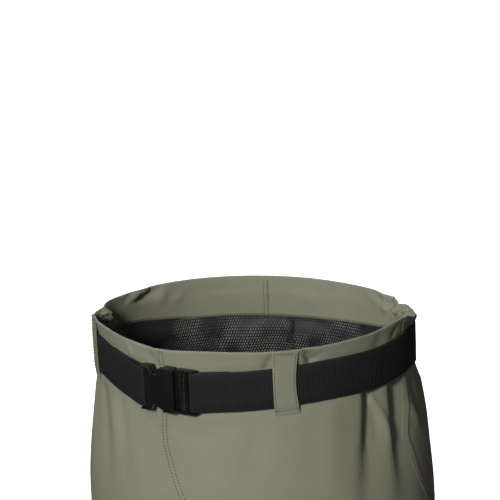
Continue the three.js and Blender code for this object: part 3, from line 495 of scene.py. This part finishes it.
def pushed(places, spots, rows):
    """Push in mm on every place by one fold, whose line runs through the spots."""
    most = np.zeros(len(places))
    turned = np.radians(angles_of(places))
    leftward = np.stack([np.cos(turned), np.sin(turned), np.zeros(len(places))], axis=1)
    for start, end, first, last in zip(spots, spots[1:], rows, rows[1:]):
        run = end - start
        share = np.clip((places - start) @ run / (run @ run), 0, 1)
        away = (places - start - share[:, None] * run) * 1000
        gap = np.linalg.norm(away, axis=1)
        half_width = first[2] + share * (last[2] - first[2])
        if len(first) > 4:
            skew = first[4] + share * (last[4] - first[4])
            half_width = half_width * (1 + skew * np.tanh((away * leftward).sum(axis=1) / 3))
        push = (first[3] + share * (last[3] - first[3])) * np.exp(-((gap / half_width) ** 2))
        most = np.where(np.abs(push) > np.abs(most), push, most)
    return most


BELT_PRESS = 0.7  # of the cloth under the belt, in mm
BELT_FADE_UP = 0.004  # over which the cloth comes free of the belt
BELT_FADE_DOWN = 0.008
RIM_SHARE = 0.6  # of a gather's push that is left at the rim
GATHER_LOW = 3.4  # half width of a gather at the belt and at the rim, in mm
GATHER_HIGH = 4.4
RIPPLE = 0.6  # in mm
LEG_FOLD_STRENGTH = 1.5
RIGHT_DROP = 9  # of the right leg's folds, so that the legs differ, in mm and degrees
RIGHT_TURN = 12
fold_lines = []
for rows in WAIST_FOLDS + CURLS:
    fold_lines.append(([np.array(waist_place(plain_tree, row[0], row[1])[0]) for row in rows], rows))
for at_belt, at_rim, push in GATHERS:
    low = (float(level(belt_top_curve, at_belt)) - RIM) * 1000
    high = (float(level(rim_curve, at_rim)) - RIM) * 1000
    rows = ((at_belt, low, GATHER_LOW, push), (at_rim, high, GATHER_HIGH, RIM_SHARE * push))
    fold_lines.append(([np.array(waist_place(plain_tree, row[0], row[1])[0]) for row in rows], rows))
for side in (1, -1):
    for rows in LEG_FOLDS:
        drop = 0 if side > 0 else RIGHT_DROP
        turned = 0 if side > 0 else RIGHT_TURN
        spots = [np.array(leg_place(plain_tree, side, row[0] + turned, row[1] - drop)[0]) for row in rows]
        fold_lines.append((spots, [(*row[:3], row[3] * LEG_FOLD_STRENGTH) for row in rows]))


def smooth_step(value):
    share = np.clip(value, 0, 1)
    return share * share * (3 - 2 * share)


def drape(mesh):
    """Moves the corners of the plain cloth to where its folds, its gathers and the belt put them."""
    places = corners_of(mesh)
    outward = np.empty(len(mesh.vertices) * 3)
    mesh.vertex_normals.foreach_get("vector", outward)
    outward = outward.reshape(-1, 3)
    angle = angles_of(places)
    top, belt_top, belt_foot = [level(curve, angle) for curve in (rim_curve, belt_top_curve, belt_foot_curve)]
    push = sum(pushed(places, spots, rows) for spots, rows in fold_lines)
    x, y, z = places.T
    push += RIPPLE * np.sin(31 * z + 9 * x) * np.sin(23 * x + 11 * z + 17 * y) * (z < belt_foot - 0.01)
    above = smooth_step((z - belt_top) / BELT_FADE_UP)
    below = smooth_step((belt_foot - z) / BELT_FADE_DOWN)
    free = np.maximum(above, below)
    push = np.where(push > 0, push * free, push) - BELT_PRESS * (1 - free)
    lift = np.interp(angle, *zip(*RIM_LIFT)) * smooth_step((z - belt_top) / (top - belt_top))
    moved = places + outward * push[:, None] / 1000
    moved[:, 2] += lift / 1000
    mesh.vertices.foreach_set("co", moved.ravel())
    mesh.update()
    return mesh


GATHERED_FROM = 0.992
GATHERED_ANGLES = ((-122, -70), (92, 138))


def is_gathered(corner):
    angle = angles_of(np.array([corner.co]))[0]
    return corner.co.z > GATHERED_FROM and any(first < angle < last for first, last in GATHERED_ANGLES)


def subdivided_over(mesh, height):
    made = bmesh.new()
    made.from_mesh(mesh)
    edges = [edge for edge in made.edges if all(corner.co.z > height for corner in edge.verts)]
    bmesh.ops.subdivide_edges(made, edges=edges, cuts=1, use_grid_fill=True)
    sides = [edge for edge in made.edges if all(is_gathered(corner) for corner in edge.verts)]
    bmesh.ops.subdivide_edges(made, edges=sides, cuts=1, use_grid_fill=True)
    return mesh_of(made, mesh.name + "_fine")


FINE_FROM = 0.905
cloth_mesh = drape(subdivided_over(plain_cloth, FINE_FROM))
cloth_tree = tree_of(cloth_mesh)
lining_mesh = drape(plain_cloth.copy())

# The top is turned in: the rim's edge is drawn over and down the inside.
HEM_INSET = 2.6
HEM_PROFILE = [(0.35, 0.8), (1.3, 1.2), (2.25, 0.8), (HEM_INSET, 0)]  # in and up from the rim, in mm
HEM_ROWS = 14
# Below 0, the second value is a share of the hem's depth.
HEM_PROFILE += [(HEM_INSET, -(row + 1) / HEM_ROWS) for row in range(HEM_ROWS)]
# Depth of the hem, less where the belt gathers the sides: rows of angle and depth in mm
HEM_DEPTH = (
    (-180, 49), (-142, 48), (-125, 41), (-107, 34), (-90, 30), (-60, 40), (-30, 49),
    (60, 49), (95, 36), (115, 34), (131, 37), (145, 44), (165, 48), (180, 49),
)
made = bmesh.new()
made.from_mesh(cloth_mesh)
rim_edges = [e for e in made.edges if e.is_boundary and min(v.co.z for v in e.verts) > RIM_LOWEST - 0.01]
rim_places = np.array([tuple(v.co) for v in {v for e in rim_edges for v in e.verts}])
rim_curve = level_curve(rim_places)  # from here on, the rim of the draped cloth
rim_order = np.argsort(angles_of(rim_places))
rim_reach = (rim_curve[0], np.hypot(rim_places[:, 0] - WAIST_X, rim_places[:, 1] - WAIST_Y)[rim_order])


def hem_place(corner, inward, rise):
    """Where a corner of the turned hem lies, straight inside the rim."""
    angle = angles_of(np.array([corner.co]))[0]
    ray = Vector((corner.co.x - WAIST_X, corner.co.y - WAIST_Y, 0)).normalized()
    if rise < 0:
        rise *= float(np.interp(angle, *zip(*HEM_DEPTH)))
    axis = Vector((WAIST_X, WAIST_Y, float(level(rim_curve, angle)) + rise / 1000))
    reach = float(level(rim_reach, angle))
    if rise < 0:
        reach = (cloth_tree.ray_cast(axis, ray)[0] - axis).length
    return axis + ray * (reach - inward / 1000)


for inward, rise in HEM_PROFILE:
    grown = bmesh.ops.extrude_edge_only(made, edges=rim_edges)["geom"]
    rim_edges = [item for item in grown if isinstance(item, bmesh.types.BMEdge) and item.is_boundary]
    for corner in {corner for edge in rim_edges for corner in edge.verts}:
        corner.co = hem_place(corner, inward, rise)
bmesh.ops.recalc_face_normals(made, faces=made.faces)
trousers_mesh = mesh_of(made, "trousers")

# Coated nylon: a dull olive weave with a slight sheen, fine crinkles and uneven dye
CLOTH_COLOR = (0.158, 0.160, 0.111, 1)
CLOTH_WORN = (0.167, 0.169, 0.119, 1)
CLOTH_DEEP = (0.149, 0.151, 0.104, 1)


def cloth_paint(name, deep, worn):
    paint = Paint(name, roughness=0.72, Specular_IOR_Level=0.3)
    place = paint.place()
    mottle = paint.noise(place, 9, 4)
    grain = paint.noise(place, 900, 2)
    color = paint.blend(mottle.smooth(0.35, 0.7), deep, worn)
    paint.feed("Base Color", paint.blend(grain.smooth(0.2, 0.8) * 0.35, color, CLOTH_COLOR))
    x, y, z = paint.parts(place)
    weave = (z * 5200).wave() * ((x + y) * 5200).wave()
    crinkle = paint.noise(place, 55, 5, 0.6)
    fine = paint.bump(weave * 0.5 + grain, 0.00012, 0.6)
    paint.feed("Normal", paint.bump(crinkle, 0.0016, 0.32, normal=fine))
    paint.feed("Roughness", 0.62 + 0.2 * mottle)
    return paint


cloth = cloth_paint("coated_cloth", CLOTH_DEEP, CLOTH_WORN)
trousers = show(trousers_mesh, "trousers", "cloth", cloth, *TROUSER_SOLIDS)


def thicken(piece, thickness):
    """Gives a sheet its thickness, inwards."""
    wall = piece.modifiers.new("wall", "SOLIDIFY")
    wall.thickness = thickness
    wall.offset = -1
    return piece


thicken(trousers, 0.0011)

# Mesh lining
# Knitted polyester mesh, black with rows of small oval holes. It is caught under the turned hem and hangs
# a few millimetres inside the cloth, down both legs.
LINING_TUCK = 4  # of the lining under the hem, in mm
LINING_FOOT = 0.300
LINING_GAP = 0.0019
LINING_SLACK = 0.0030
LINING_WAVE = 0.0016
CROTCH = 0.73
KNIT_LEG_RADIUS = 0.085  # for the width of a cell round a leg

places = corners_of(lining_mesh)
outward = np.empty(len(lining_mesh.vertices) * 3)
lining_mesh.vertex_normals.foreach_get("vector", outward)
outward = outward.reshape(-1, 3)
angle = angles_of(places)
hem_foot = level(rim_curve, angle) - np.interp(angle, *zip(*HEM_DEPTH)) / 1000
slack = smooth_step((hem_foot - places[:, 2]) / 0.03)
turned = np.radians(angle)
wave = np.sin(turned * 17 + 40 * places[:, 2])
wave += 0.7 * np.sin(turned * 7 - 55 * places[:, 2] + 2)
gap = LINING_GAP + slack * (LINING_SLACK + LINING_WAVE * (wave + 1))
lining_places = places - outward * gap[:, None]
lining_mesh.vertices.foreach_set("co", lining_places.ravel())
side = np.sign(places[:, 0])
leg_angle = np.arctan2(side * (places[:, 0] - side * LEG_X), LEG_Y - places[:, 1])
way_round = np.where(places[:, 2] > CROTCH, turned * (WAIST_REACH / 1000), leg_angle * KNIT_LEG_RADIUS)
for name, values in (("around", way_round), ("height", places[:, 2])):
    lining_mesh.attributes.new(name, "FLOAT", "POINT").data.foreach_set("value", values)
made = bmesh.new()
made.from_mesh(lining_mesh)
bpy.data.meshes.remove(lining_mesh)


def outside_lining(face):
    middle = face.calc_center_median()
    turned = angles_of(np.array([middle]))[0]
    foot = float(level(rim_curve, turned)) - (float(np.interp(turned, *zip(*HEM_DEPTH))) - LINING_TUCK) / 1000
    return middle.z > foot or middle.z < LINING_FOOT


bmesh.ops.delete(made, geom=[face for face in made.faces if outside_lining(face)], context="FACES")
lining_mesh = mesh_of(made, "mesh_lining")

CELL_WIDTH = 0.0030
CELL_HEIGHT = 0.0036
knit = Paint("knitted_mesh", roughness=0.55)
row = knit.attribute("height") * (1 / CELL_HEIGHT)
shifted = knit.attribute("around") * (1 / CELL_WIDTH) + row.whole() * 0.5
down = row.fraction() - 0.5
across = shifted.fraction() - 0.5 + down * 0.22
oval = (across * across * 13 + down * down * 5.5).smooth(1.1, 0.5)
shine = knit.noise(knit.place(), 26, 2)
hole = knit.blend(shine.smooth(0.38, 0.66), (0.014, 0.014, 0.013, 1), (0.13, 0.13, 0.125, 1))
knit.feed("Base Color", knit.blend(oval, (0.006, 0.006, 0.006, 1), hole))
knit.feed("Roughness", 0.42 + 0.3 * oval)
knit.feed("Normal", knit.bump(1 - oval, 0.0007, 0.8))
lining = show(lining_mesh, "mesh_lining", "cloth", knit)
thicken(lining, 0.0004)

# Seams
# The cloth is felled and sewn twice at the front, the back, down the outside and down the inside of each leg.
SEAM_RISE = 0.55  # in mm, as the next three
SEAM_TUCK = -0.3  # of a seam's edges into the cloth
STITCH_INSET = 1.2
THREAD_RISE = 0.1
SEAM_FLAT = 0.8  # share of a seam's width that lies on top
# Rows of angle and height, in mm over the front of the rim, from the rim down
FRONT_SEAM = ((-19.3, 0), (-19.5, -40), (-19, -85), (-18.2, -110), (-14, -150), (-7, -210), (0, -285))
BACK_SEAM = ((189, -9), (189.5, -60), (190.5, -105), (188, -150), (184, -210), (180, -285))
# The outside seam is two strips, from the waist and down the leg, that end side by side and don't meet.
LEFT_SEAM = ((80.5, 6), (80, -30), (79, -62), (79, -76), (78, -92), (74.5, -126), (78, -170), (86, -215))
RIGHT_SEAM = ((-84, -6), (-85, -30), (-86, -70), (-86, -126), (-87, -170), (-88, -215))
OUTER_LEG_SEAM = ((92, 812), (90, 700), (88, 560), (90, 430), (91, 290))
INNER_LEG_SEAM = ((-90, 705), (-88, 640), (-87, 560), (-88, 430), (-90, 290))


def along(rows, share):
    steps = np.linspace(0, 1, len(rows))
    angles, heights = zip(*rows)
    return np.interp(share, steps, angles), np.interp(share, steps, heights)


def laid_strip(columns, rows, where):
    """A strip whose corners are laid where a rule says, for shares across and along it."""
    strip = bmesh.new()
    bmesh.ops.create_grid(strip, x_segments=columns, y_segments=rows, size=0.5)
    for corner in strip.verts:
        corner.co = where(corner.co.x + 0.5, corner.co.y + 0.5)
    return strip


def facing_out(strip, tree):
    """Turns a strip over if it faces into the surface that it lies on."""
    face = strip.faces[:][len(strip.faces) // 2]
    face.normal_update()
    if face.normal.dot(tree.find_nearest(face.calc_center_median())[1]) < 0:
        bmesh.ops.reverse_faces(strip, faces=strip.faces)
    return strip


def on_seam(rows, place, reach, share, offset, rise):
    """A point beside a seam's middle line, over the cloth. Offset, rise and reach, the radius, are in mm."""
    angle, height = along(rows, share)
    point, outward = place(cloth_tree, angle + math.degrees(offset / reach), height)
    return point + outward * rise / 1000, outward


def left_leg(tree, angle, height):
    return leg_place(tree, 1, angle, height)


def right_leg(tree, angle, height):
    return leg_place(tree, -1, angle, height)


STITCH = 0.0022
STITCH_PITCH = 0.0036
THREAD_HALF = 0.0005
thread = bmesh.new()


def sew(line):
    """Lays one small round bar of thread per stitch along a line of points and normals."""
    points = np.array([point for point, outward in line])
    normals = np.array([outward for point, outward in line])
    reach = np.append(0, np.cumsum(np.linalg.norm(np.diff(points, axis=0), axis=1)))

    def at(distance, values):
        return Vector([np.interp(distance, reach, values[:, axis]) for axis in range(3)])

    row = bmesh.new()
    for start in np.arange(0, reach[-1] - STITCH, STITCH_PITCH):
        first, last = at(start, points), at(start + STITCH, points)
        run = (last - first) / 2
        outward = at(start, normals).normalized() * THREAD_HALF
        sideways = run.normalized().cross(outward)
        turned = Matrix((run, sideways, outward)).transposed().to_4x4()
        turned.translation = (first + last) / 2
        bmesh.ops.create_icosphere(row, subdivisions=1, radius=1, matrix=turned)
    sewn = mesh_of(row, "stitch_row")
    thread.from_mesh(sewn)
    bpy.data.meshes.remove(sewn)


LEG_REACH = 80  # mean radius of a leg, in mm
seams = bmesh.new()
for rows, place, reach, length, half in (
    (FRONT_SEAM, waist_place, WAIST_REACH, 285, 3.6),
    (BACK_SEAM, waist_place, WAIST_REACH, 285, 3.6),
    (LEFT_SEAM, waist_place, WAIST_REACH, 220, 5.6),
    (RIGHT_SEAM, waist_place, WAIST_REACH, 210, 5.6),
    (OUTER_LEG_SEAM, left_leg, LEG_REACH, 520, 4.2),
    (OUTER_LEG_SEAM, right_leg, LEG_REACH, 520, 4.2),
    (INNER_LEG_SEAM, left_leg, LEG_REACH, 415, 4.2),
    (INNER_LEG_SEAM, right_leg, LEG_REACH, 415, 4.2),
):

    def raised(across, share):
        edge = abs(2 * across - 1)
        rise = SEAM_RISE if edge < SEAM_FLAT else SEAM_TUCK
        return on_seam(rows, place, reach, share, (2 * across - 1) * half, rise)[0]

    strip = facing_out(laid_strip(7, length // 3, raised), cloth_tree)
    part = mesh_of(strip, "seam")
    seams.from_mesh(part)
    bpy.data.meshes.remove(part)
    for offset in (STITCH_INSET - half, half - STITCH_INSET):
        shares = np.linspace(0, 1, length // 3)
        sew([on_seam(rows, place, reach, share, offset, SEAM_RISE + THREAD_RISE) for share in shares])
seam_cloth = cloth_paint("seam_cloth", (0.14, 0.142, 0.096, 1), (0.18, 0.182, 0.13, 1))
thicken(show(mesh_of(seams, "felled_seams"), "felled_seams", "cloth", seam_cloth), 0.0008)

# Hem stitches, just over the turned hem's lower edge, seen on the inside
HEM_STITCH_UP = 2.5  # over the hem's lower edge


def inside_hem(angle):
    depth = float(np.interp(angle, *zip(*HEM_DEPTH))) - HEM_STITCH_UP
    height = (float(level(rim_curve, angle)) - RIM) * 1000 - depth
    point, outward = waist_place(cloth_tree, angle, height)
    return point - outward * (HEM_INSET + THREAD_RISE) / 1000, -outward


sew([inside_hem(angle) for angle in np.linspace(-180, 180, 361)])

# The back seam goes on over the turned hem.
INNER_SEAM_ANGLE = 189.3
INNER_SEAM_HALF = 3.4
INNER_SEAM_TOP = -13
INNER_SEAM_FOOT = -56
INNER_SEAM_ROWS = 24
INNER_SEAM_INSET = 3.1  # of the strip's middle and of its edges, inside the cloth
INNER_SEAM_EDGE = 2.2
INNER_STITCH = 2.3
INNER_STITCH_INSET = 3.2


def inside_back(offset, height, inset):
    angle = INNER_SEAM_ANGLE + math.degrees(offset / WAIST_REACH)
    point, outward = waist_place(cloth_tree, angle, height)
    return point - outward * inset / 1000, -outward


def on_inner_seam(across, share):
    height = INNER_SEAM_TOP + share * (INNER_SEAM_FOOT - INNER_SEAM_TOP)
    inset = INNER_SEAM_INSET if 0.1 < across < 0.9 else INNER_SEAM_EDGE
    return inside_back((2 * across - 1) * INNER_SEAM_HALF, height, inset)[0]


inner_seam = laid_strip(7, INNER_SEAM_ROWS, on_inner_seam)
bmesh.ops.reverse_faces(facing_out(inner_seam, cloth_tree), faces=inner_seam.faces)
thicken(show(mesh_of(inner_seam, "inner_seam"), "inner_seam", "cloth", seam_cloth), 0.0006)
for offset in (-INNER_STITCH, INNER_STITCH):
    heights = np.linspace(INNER_SEAM_TOP, INNER_SEAM_FOOT, INNER_SEAM_ROWS)
    sew([inside_back(offset, height, INNER_STITCH_INSET) for height in heights])


# Belt
# Black polypropylene webbing, woven with fine upright ribs and a closed edge. Both ends fold back round a bar
# of the buckle.
SHARP = math.radians(55)
CREASE = 0.9
WEBBING_START = 15.7  # degrees from the front to the end of the webbing
WEBBING_HALF = 0.023


def creased(made, angle):
    """Marks the sharp edges of a solid, so that rounding keeps them."""
    layer = made.edges.layers.float.new("crease_edge")
    for edge in made.edges:
        if edge.is_manifold and edge.calc_face_angle() > angle:
            edge[layer] = CREASE
    return made


def rounded_copy(node, angle, levels):
    made = merged_copy(node)
    to_quads(made)
    return smoothed(creased(made, angle), node + "_fine", levels)


belt_mesh = rounded_copy("belt", SHARP, 2)
places = corners_of(belt_mesh)
angle = angles_of(places)
wrapped = (angle + WEBBING_START) % 360
middle = (level(belt_top_curve, angle) + level(belt_foot_curve, angle)) / 2
webbing_along = np.radians(wrapped) * (WAIST_REACH / 1000)
for name, values in (("along", webbing_along), ("across", (places[:, 2] - middle) / WEBBING_HALF)):
    belt_mesh.attributes.new(name, "FLOAT", "POINT").data.foreach_set("value", values)
RIB_PITCH = 0.00195
webbing = Paint("black_webbing", roughness=0.7, Specular_IOR_Level=0.18)
length = webbing.attribute("along")
across = webbing.attribute("across")
rib = (length * (2 * math.pi / RIB_PITCH)).wave() * 0.5 + 0.5
pick = (across * 95).wave() * 0.5 + 0.5
edge = (across * across).smooth(0.8, 0.9)
fuzz = webbing.noise(webbing.place(), 700, 3)
height = (rib * (0.6 + 0.4 * pick)) * (1 - edge) + edge * 0.6
# Base colour lighter on the rib crests and darker in the valleys between them: a painted highlight and
# painted shade of the ribs, with random flecks of tone.
painted_rib_shade_and_fleck = webbing.blend(height * (0.5 + 0.7 * fuzz), (0.0003, 0.0003, 0.0003, 1), (0.021, 0.021, 0.021, 1))
webbing.feed("Base Color", painted_rib_shade_and_fleck)
webbing.feed("Normal", webbing.bump(height + fuzz * 0.2, 0.0005, 0.8))
webbing.feed("Roughness", 0.6 + 0.25 * fuzz)
show(belt_mesh, "webbing_belt", "webbing", webbing, "belt")

# Belt loops
# Strips of the trousers' cloth with turned edges, stitched down both sides and along the top.
LOOP_END = 0.0018  # from a loop's ends to its stitches
LOOP_STITCH = 0.0119  # from a loop's middle to the stitches down its sides
LOOP_WAISTING = 0.12  # share by which a loop is narrower at half height
LOOP_SWAY = -0.0022  # sideways, at half height
LOOP_TUCK = {4: 0.003}  # how far one loop's top is drawn down by the gathers
LOOP_FADE = 0.012  # height over the belt by which a loop's top has moved with the rim


def swayed(aside, share):
    """Where a point of a loop comes to lie along the belt, by its share of the way down."""
    return aside - (LOOP_WAISTING * aside - LOOP_SWAY) * np.sin(math.pi * share)


for number in range(1, 5):
    node = f"belt_loop_{number}"
    loop_mesh = rounded_copy(node, SHARP, 3)
    places = corners_of(loop_mesh)
    angle = angles_of(places)
    middle = (angle.min() + angle.max()) / 2
    over = smooth_step((places[:, 2] - level(belt_top_curve, angle)) / LOOP_FADE)
    places[:, 2] += (np.interp(angle, *zip(*RIM_LIFT)) / 1000 - LOOP_TUCK.get(number, 0)) * over
    low, high = places[:, 2].min(), places[:, 2].max()
    ends = (places[:, 2].min() + LOOP_END, places[:, 2].max() - LOOP_END)
    ray = Vector((math.sin(math.radians(middle)), -math.cos(math.radians(middle)), 0))
    normal = Vector((ray.x * WAIST_HALF_DEPTH, ray.y * WAIST_HALF_WIDTH, 0)).normalized()
    along_belt = Vector((-normal.y, normal.x, 0))
    center = Vector((WAIST_X + ray.x * WAIST_HALF_WIDTH, WAIST_Y + ray.y * WAIST_HALF_DEPTH, 0))
    share = (high - places[:, 2]) / (high - low)
    aside = (places - np.array(center)) @ np.array(along_belt)
    places += (swayed(aside, share) - aside)[:, None] * np.array(along_belt)
    loop_mesh.vertices.foreach_set("co", places.ravel())
    show(loop_mesh, f"cloth_loop_{number}", "cloth", cloth, node)
    loop_tree = tree_of(loop_mesh)

    def on_loop(offset, height):
        aside = swayed(offset, (high - height) / (high - low))
        start = center + along_belt * aside + normal * 0.03 + Vector((0, 0, height))
        point, outward = loop_tree.ray_cast(start, -normal)[:2]
        return point and (point + outward * 0.0002, outward)

    for offset in (-LOOP_STITCH, LOOP_STITCH):
        line = [on_loop(offset, height) for height in np.linspace(*ends, 30)]
        sew([spot for spot in line if spot])
    line = [on_loop(offset, ends[1]) for offset in np.linspace(-LOOP_STITCH, LOOP_STITCH, 9)]
    sew([spot for spot in line if spot])

# Buckle
# A side-release buckle moulded in black acetal: a socket with two thumb notches, and a frame with prongs,
# a toothed bar and an end bar that carry the webbing.
BUCKLE_EDGE = 0.0005
BUCKLE_FLAT = math.radians(1.5)
BUCKLE_SHARP = math.radians(28)
BUCKLE_SHADE = math.radians(35)
BUCKLE_SLIVER = 0.0012  # short edges near the ends that leave the rounding no room
acetal = Paint("black_acetal", roughness=0.3, Specular_IOR_Level=0.4)
place = acetal.place()
haze = acetal.noise(place, 60, 3)
acetal.feed("Base Color", acetal.blend(haze, (0.0015, 0.0015, 0.0016, 1), (0.004, 0.004, 0.0042, 1)))
acetal.feed("Roughness", 0.2 + 0.2 * haze)
acetal.feed("Normal", acetal.bump(acetal.noise(place, 1400, 2), 0.0001, 0.35))
for node, name in (("buckle_socket", "socket_shell"), ("buckle_prongs", "prong_frame")):
    made = merged_copy(node)
    bmesh.ops.dissolve_limit(made, angle_limit=BUCKLE_FLAT, verts=made.verts, edges=made.edges)
    bmesh.ops.remove_doubles(made, verts=made.verts, dist=BUCKLE_SLIVER)
    edges = [edge for edge in made.edges if edge.is_manifold and edge.calc_face_angle() > BUCKLE_SHARP]
    bmesh.ops.bevel(
        made,
        geom=edges,
        offset=BUCKLE_EDGE,
        offset_type="OFFSET",
        affect="EDGES",
        segments=2,
        profile=0.5,
        material=-1,
        clamp_overlap=True,
    )
    bmesh.ops.triangulate(made, faces=[face for face in made.faces if len(face.verts) > 4])
    piece = show(mesh_of(made, name), name, "plastic", acetal, node)
    piece.data.set_sharp_from_angle(angle=BUCKLE_SHADE)

# Teeth moulded across the front of the toothed bar
BUCKLE_PLACE = Vector((-0.0503, -0.1144, 0.9787))
BUCKLE_TURN = math.radians(-12.8)
TEETH = 24
TOOTH_PITCH = 0.00185
TOOTH_ALONG = 0.0187
TOOTH_OUT = 0.0062
TOOTH_SIZE = (0.0040, 0.0034, 0.0010)
TOOTH_EDGE = 0.0002
teeth = bmesh.new()
for tooth in range(TEETH):
    height = (tooth - (TEETH - 1) / 2) * TOOTH_PITCH
    sized = Matrix.Translation((TOOTH_ALONG, -TOOTH_OUT, height)) @ Matrix.Diagonal((*TOOTH_SIZE, 1))
    bmesh.ops.create_cube(teeth, size=1, matrix=sized)
bmesh.ops.bevel(
    teeth,
    geom=teeth.edges,
    offset=TOOTH_EDGE,
    affect="EDGES",
    segments=1,
    profile=0.5,
    material=-1,
    clamp_overlap=True,
)
buckle_place = Matrix.Translation(BUCKLE_PLACE) @ Matrix.Rotation(BUCKLE_TURN, 4, "Z")
bmesh.ops.transform(teeth, matrix=buckle_place, verts=teeth.verts)
show(mesh_of(teeth, "bar_teeth"), "bar_teeth", "plastic", acetal)

# Stitches
# Bonded thread, much darker than the cloth.
twine = Paint("olive_thread", roughness=0.6)
fleck = twine.noise(twine.place(), 1500, 2)
twine.feed("Base Color", twine.blend(fleck, (0.012, 0.012, 0.008, 1), (0.035, 0.035, 0.024, 1)))
show(mesh_of(thread, "stitches"), "stitches", "cloth", twine)

# Boots
# Moulded in one with their collars from olive-black rubber. The soles and insoles keep the solids' own meshes
# and only get a finish.
rubber = Paint("boot_rubber", roughness=0.5)
place = rubber.place()
cloudy = rubber.noise(place, 14, 4)
rubber.feed("Base Color", rubber.blend(cloudy, (0.032, 0.036, 0.024, 1), (0.058, 0.063, 0.043, 1)))
rubber.feed("Roughness", 0.38 + 0.28 * cloudy)
rubber.feed("Normal", rubber.bump(rubber.noise(place, 420, 3), 0.0002, 0.5))
sole = Paint("sole_rubber", roughness=0.8)
place = sole.place()
speck = sole.noise(place, 120, 4)
sole.feed("Base Color", sole.blend(speck, (0.010, 0.010, 0.009, 1), (0.026, 0.025, 0.022, 1)))
sole.feed("Normal", sole.bump(sole.noise(place, 600, 3), 0.0003, 0.5))
felt = Paint("insole_felt", roughness=0.95)
fibre = felt.noise(felt.place(), 450, 5)
felt.feed("Base Color", felt.blend(fibre, (0.018, 0.018, 0.017, 1), (0.05, 0.05, 0.047, 1)))
felt.feed("Normal", felt.bump(fibre, 0.0006, 0.6))
# Bands moulded on the boots: rows of lowest and highest point over the floor in mm, first and last angle from
# the toe in degrees, and the middle of the band along the foot and its rise in mm
BOOT_BANDS = (
    (236, 243, -180, 180, 22, 1.4),
    (150, 154, -180, 180, 22, 0.8),
    (38, 50, -180, 180, -45, 1.2),
    (50, 66, -62, 62, -45, 1.2),
    (50, 78, 148, 212, -45, 1.4),
)
BOOT_X = 0.098
BOOT_SHARP = math.radians(38)
BAND_EDGE = 0.4  # of a band's edges into the rubber, in mm
BAND_ACROSS = 6
BOOT_REACH = 0.4  # from which a band is laid on, short of the other leg for the tapes
TAPE_REACH = 0.095


def around(tree, sign, reach, ahead, angle, height):
    """The outside of a boot or leg at an angle from the toe towards its outer side, and the normal there."""
    ray = Vector((sign * math.sin(math.radians(angle)), -math.cos(math.radians(angle)), 0))
    axis = Vector((sign * BOOT_X, ahead, height))
    return tree.ray_cast(axis + ray * reach, -ray)[:2]


def band(tree, sign, reach, low, high, first, last, ahead, rise):
    def where(across, share):
        angle = first + (last - first) * share
        point, outward = around(tree, sign, reach, ahead / 1000, angle, (low + (high - low) * across) / 1000)
        lifted = rise if 0.1 < across < 0.9 and (last - first == 360 or 0.01 < share < 0.99) else -BAND_EDGE
        return point + outward * lifted / 1000

    strip = laid_strip(BAND_ACROSS, round((last - first) / 3), where)
    bmesh.ops.remove_doubles(strip, verts=strip.verts, dist=1e-5)
    return mesh_of(facing_out(strip, tree), "band")


def add_band(group, mesh):
    group.from_mesh(mesh)
    bpy.data.meshes.remove(mesh)


# A sealing tape goes round the foot of each leg, where the cloth is welded to the boot.
TAPE = (250, 270, -180, 180, 30, 0.9)
boot_bands, tapes = bmesh.new(), bmesh.new()
for side in ("left", "right"):
    sign = 1 if side == "left" else -1
    boot_mesh = rounded_copy(f"boot_{side}", BOOT_SHARP, 2)
    boot_tree = tree_of(boot_mesh)
    for low, high, first, last, ahead, rise in BOOT_BANDS:
        add_band(boot_bands, band(boot_tree, sign, BOOT_REACH, low, high, first, last, ahead, rise))
    add_band(tapes, band(cloth_tree, sign, TAPE_REACH, *TAPE))
    show(boot_mesh, f"rubber_boot_{side}", "boot_rubber", rubber, f"boot_{side}")
    for node, paint in ((f"outsole_{side}", sole), (f"insole_{side}", felt)):
        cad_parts[node].data.materials.clear()
        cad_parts[node].data.materials.append(paint.material)
thicken(show(mesh_of(boot_bands, "boot_bands"), "boot_bands", "boot_rubber", rubber), 0.001)
thicken(show(mesh_of(tapes, "sealing_tapes"), "sealing_tapes", "cloth", seam_cloth), 0.0008)
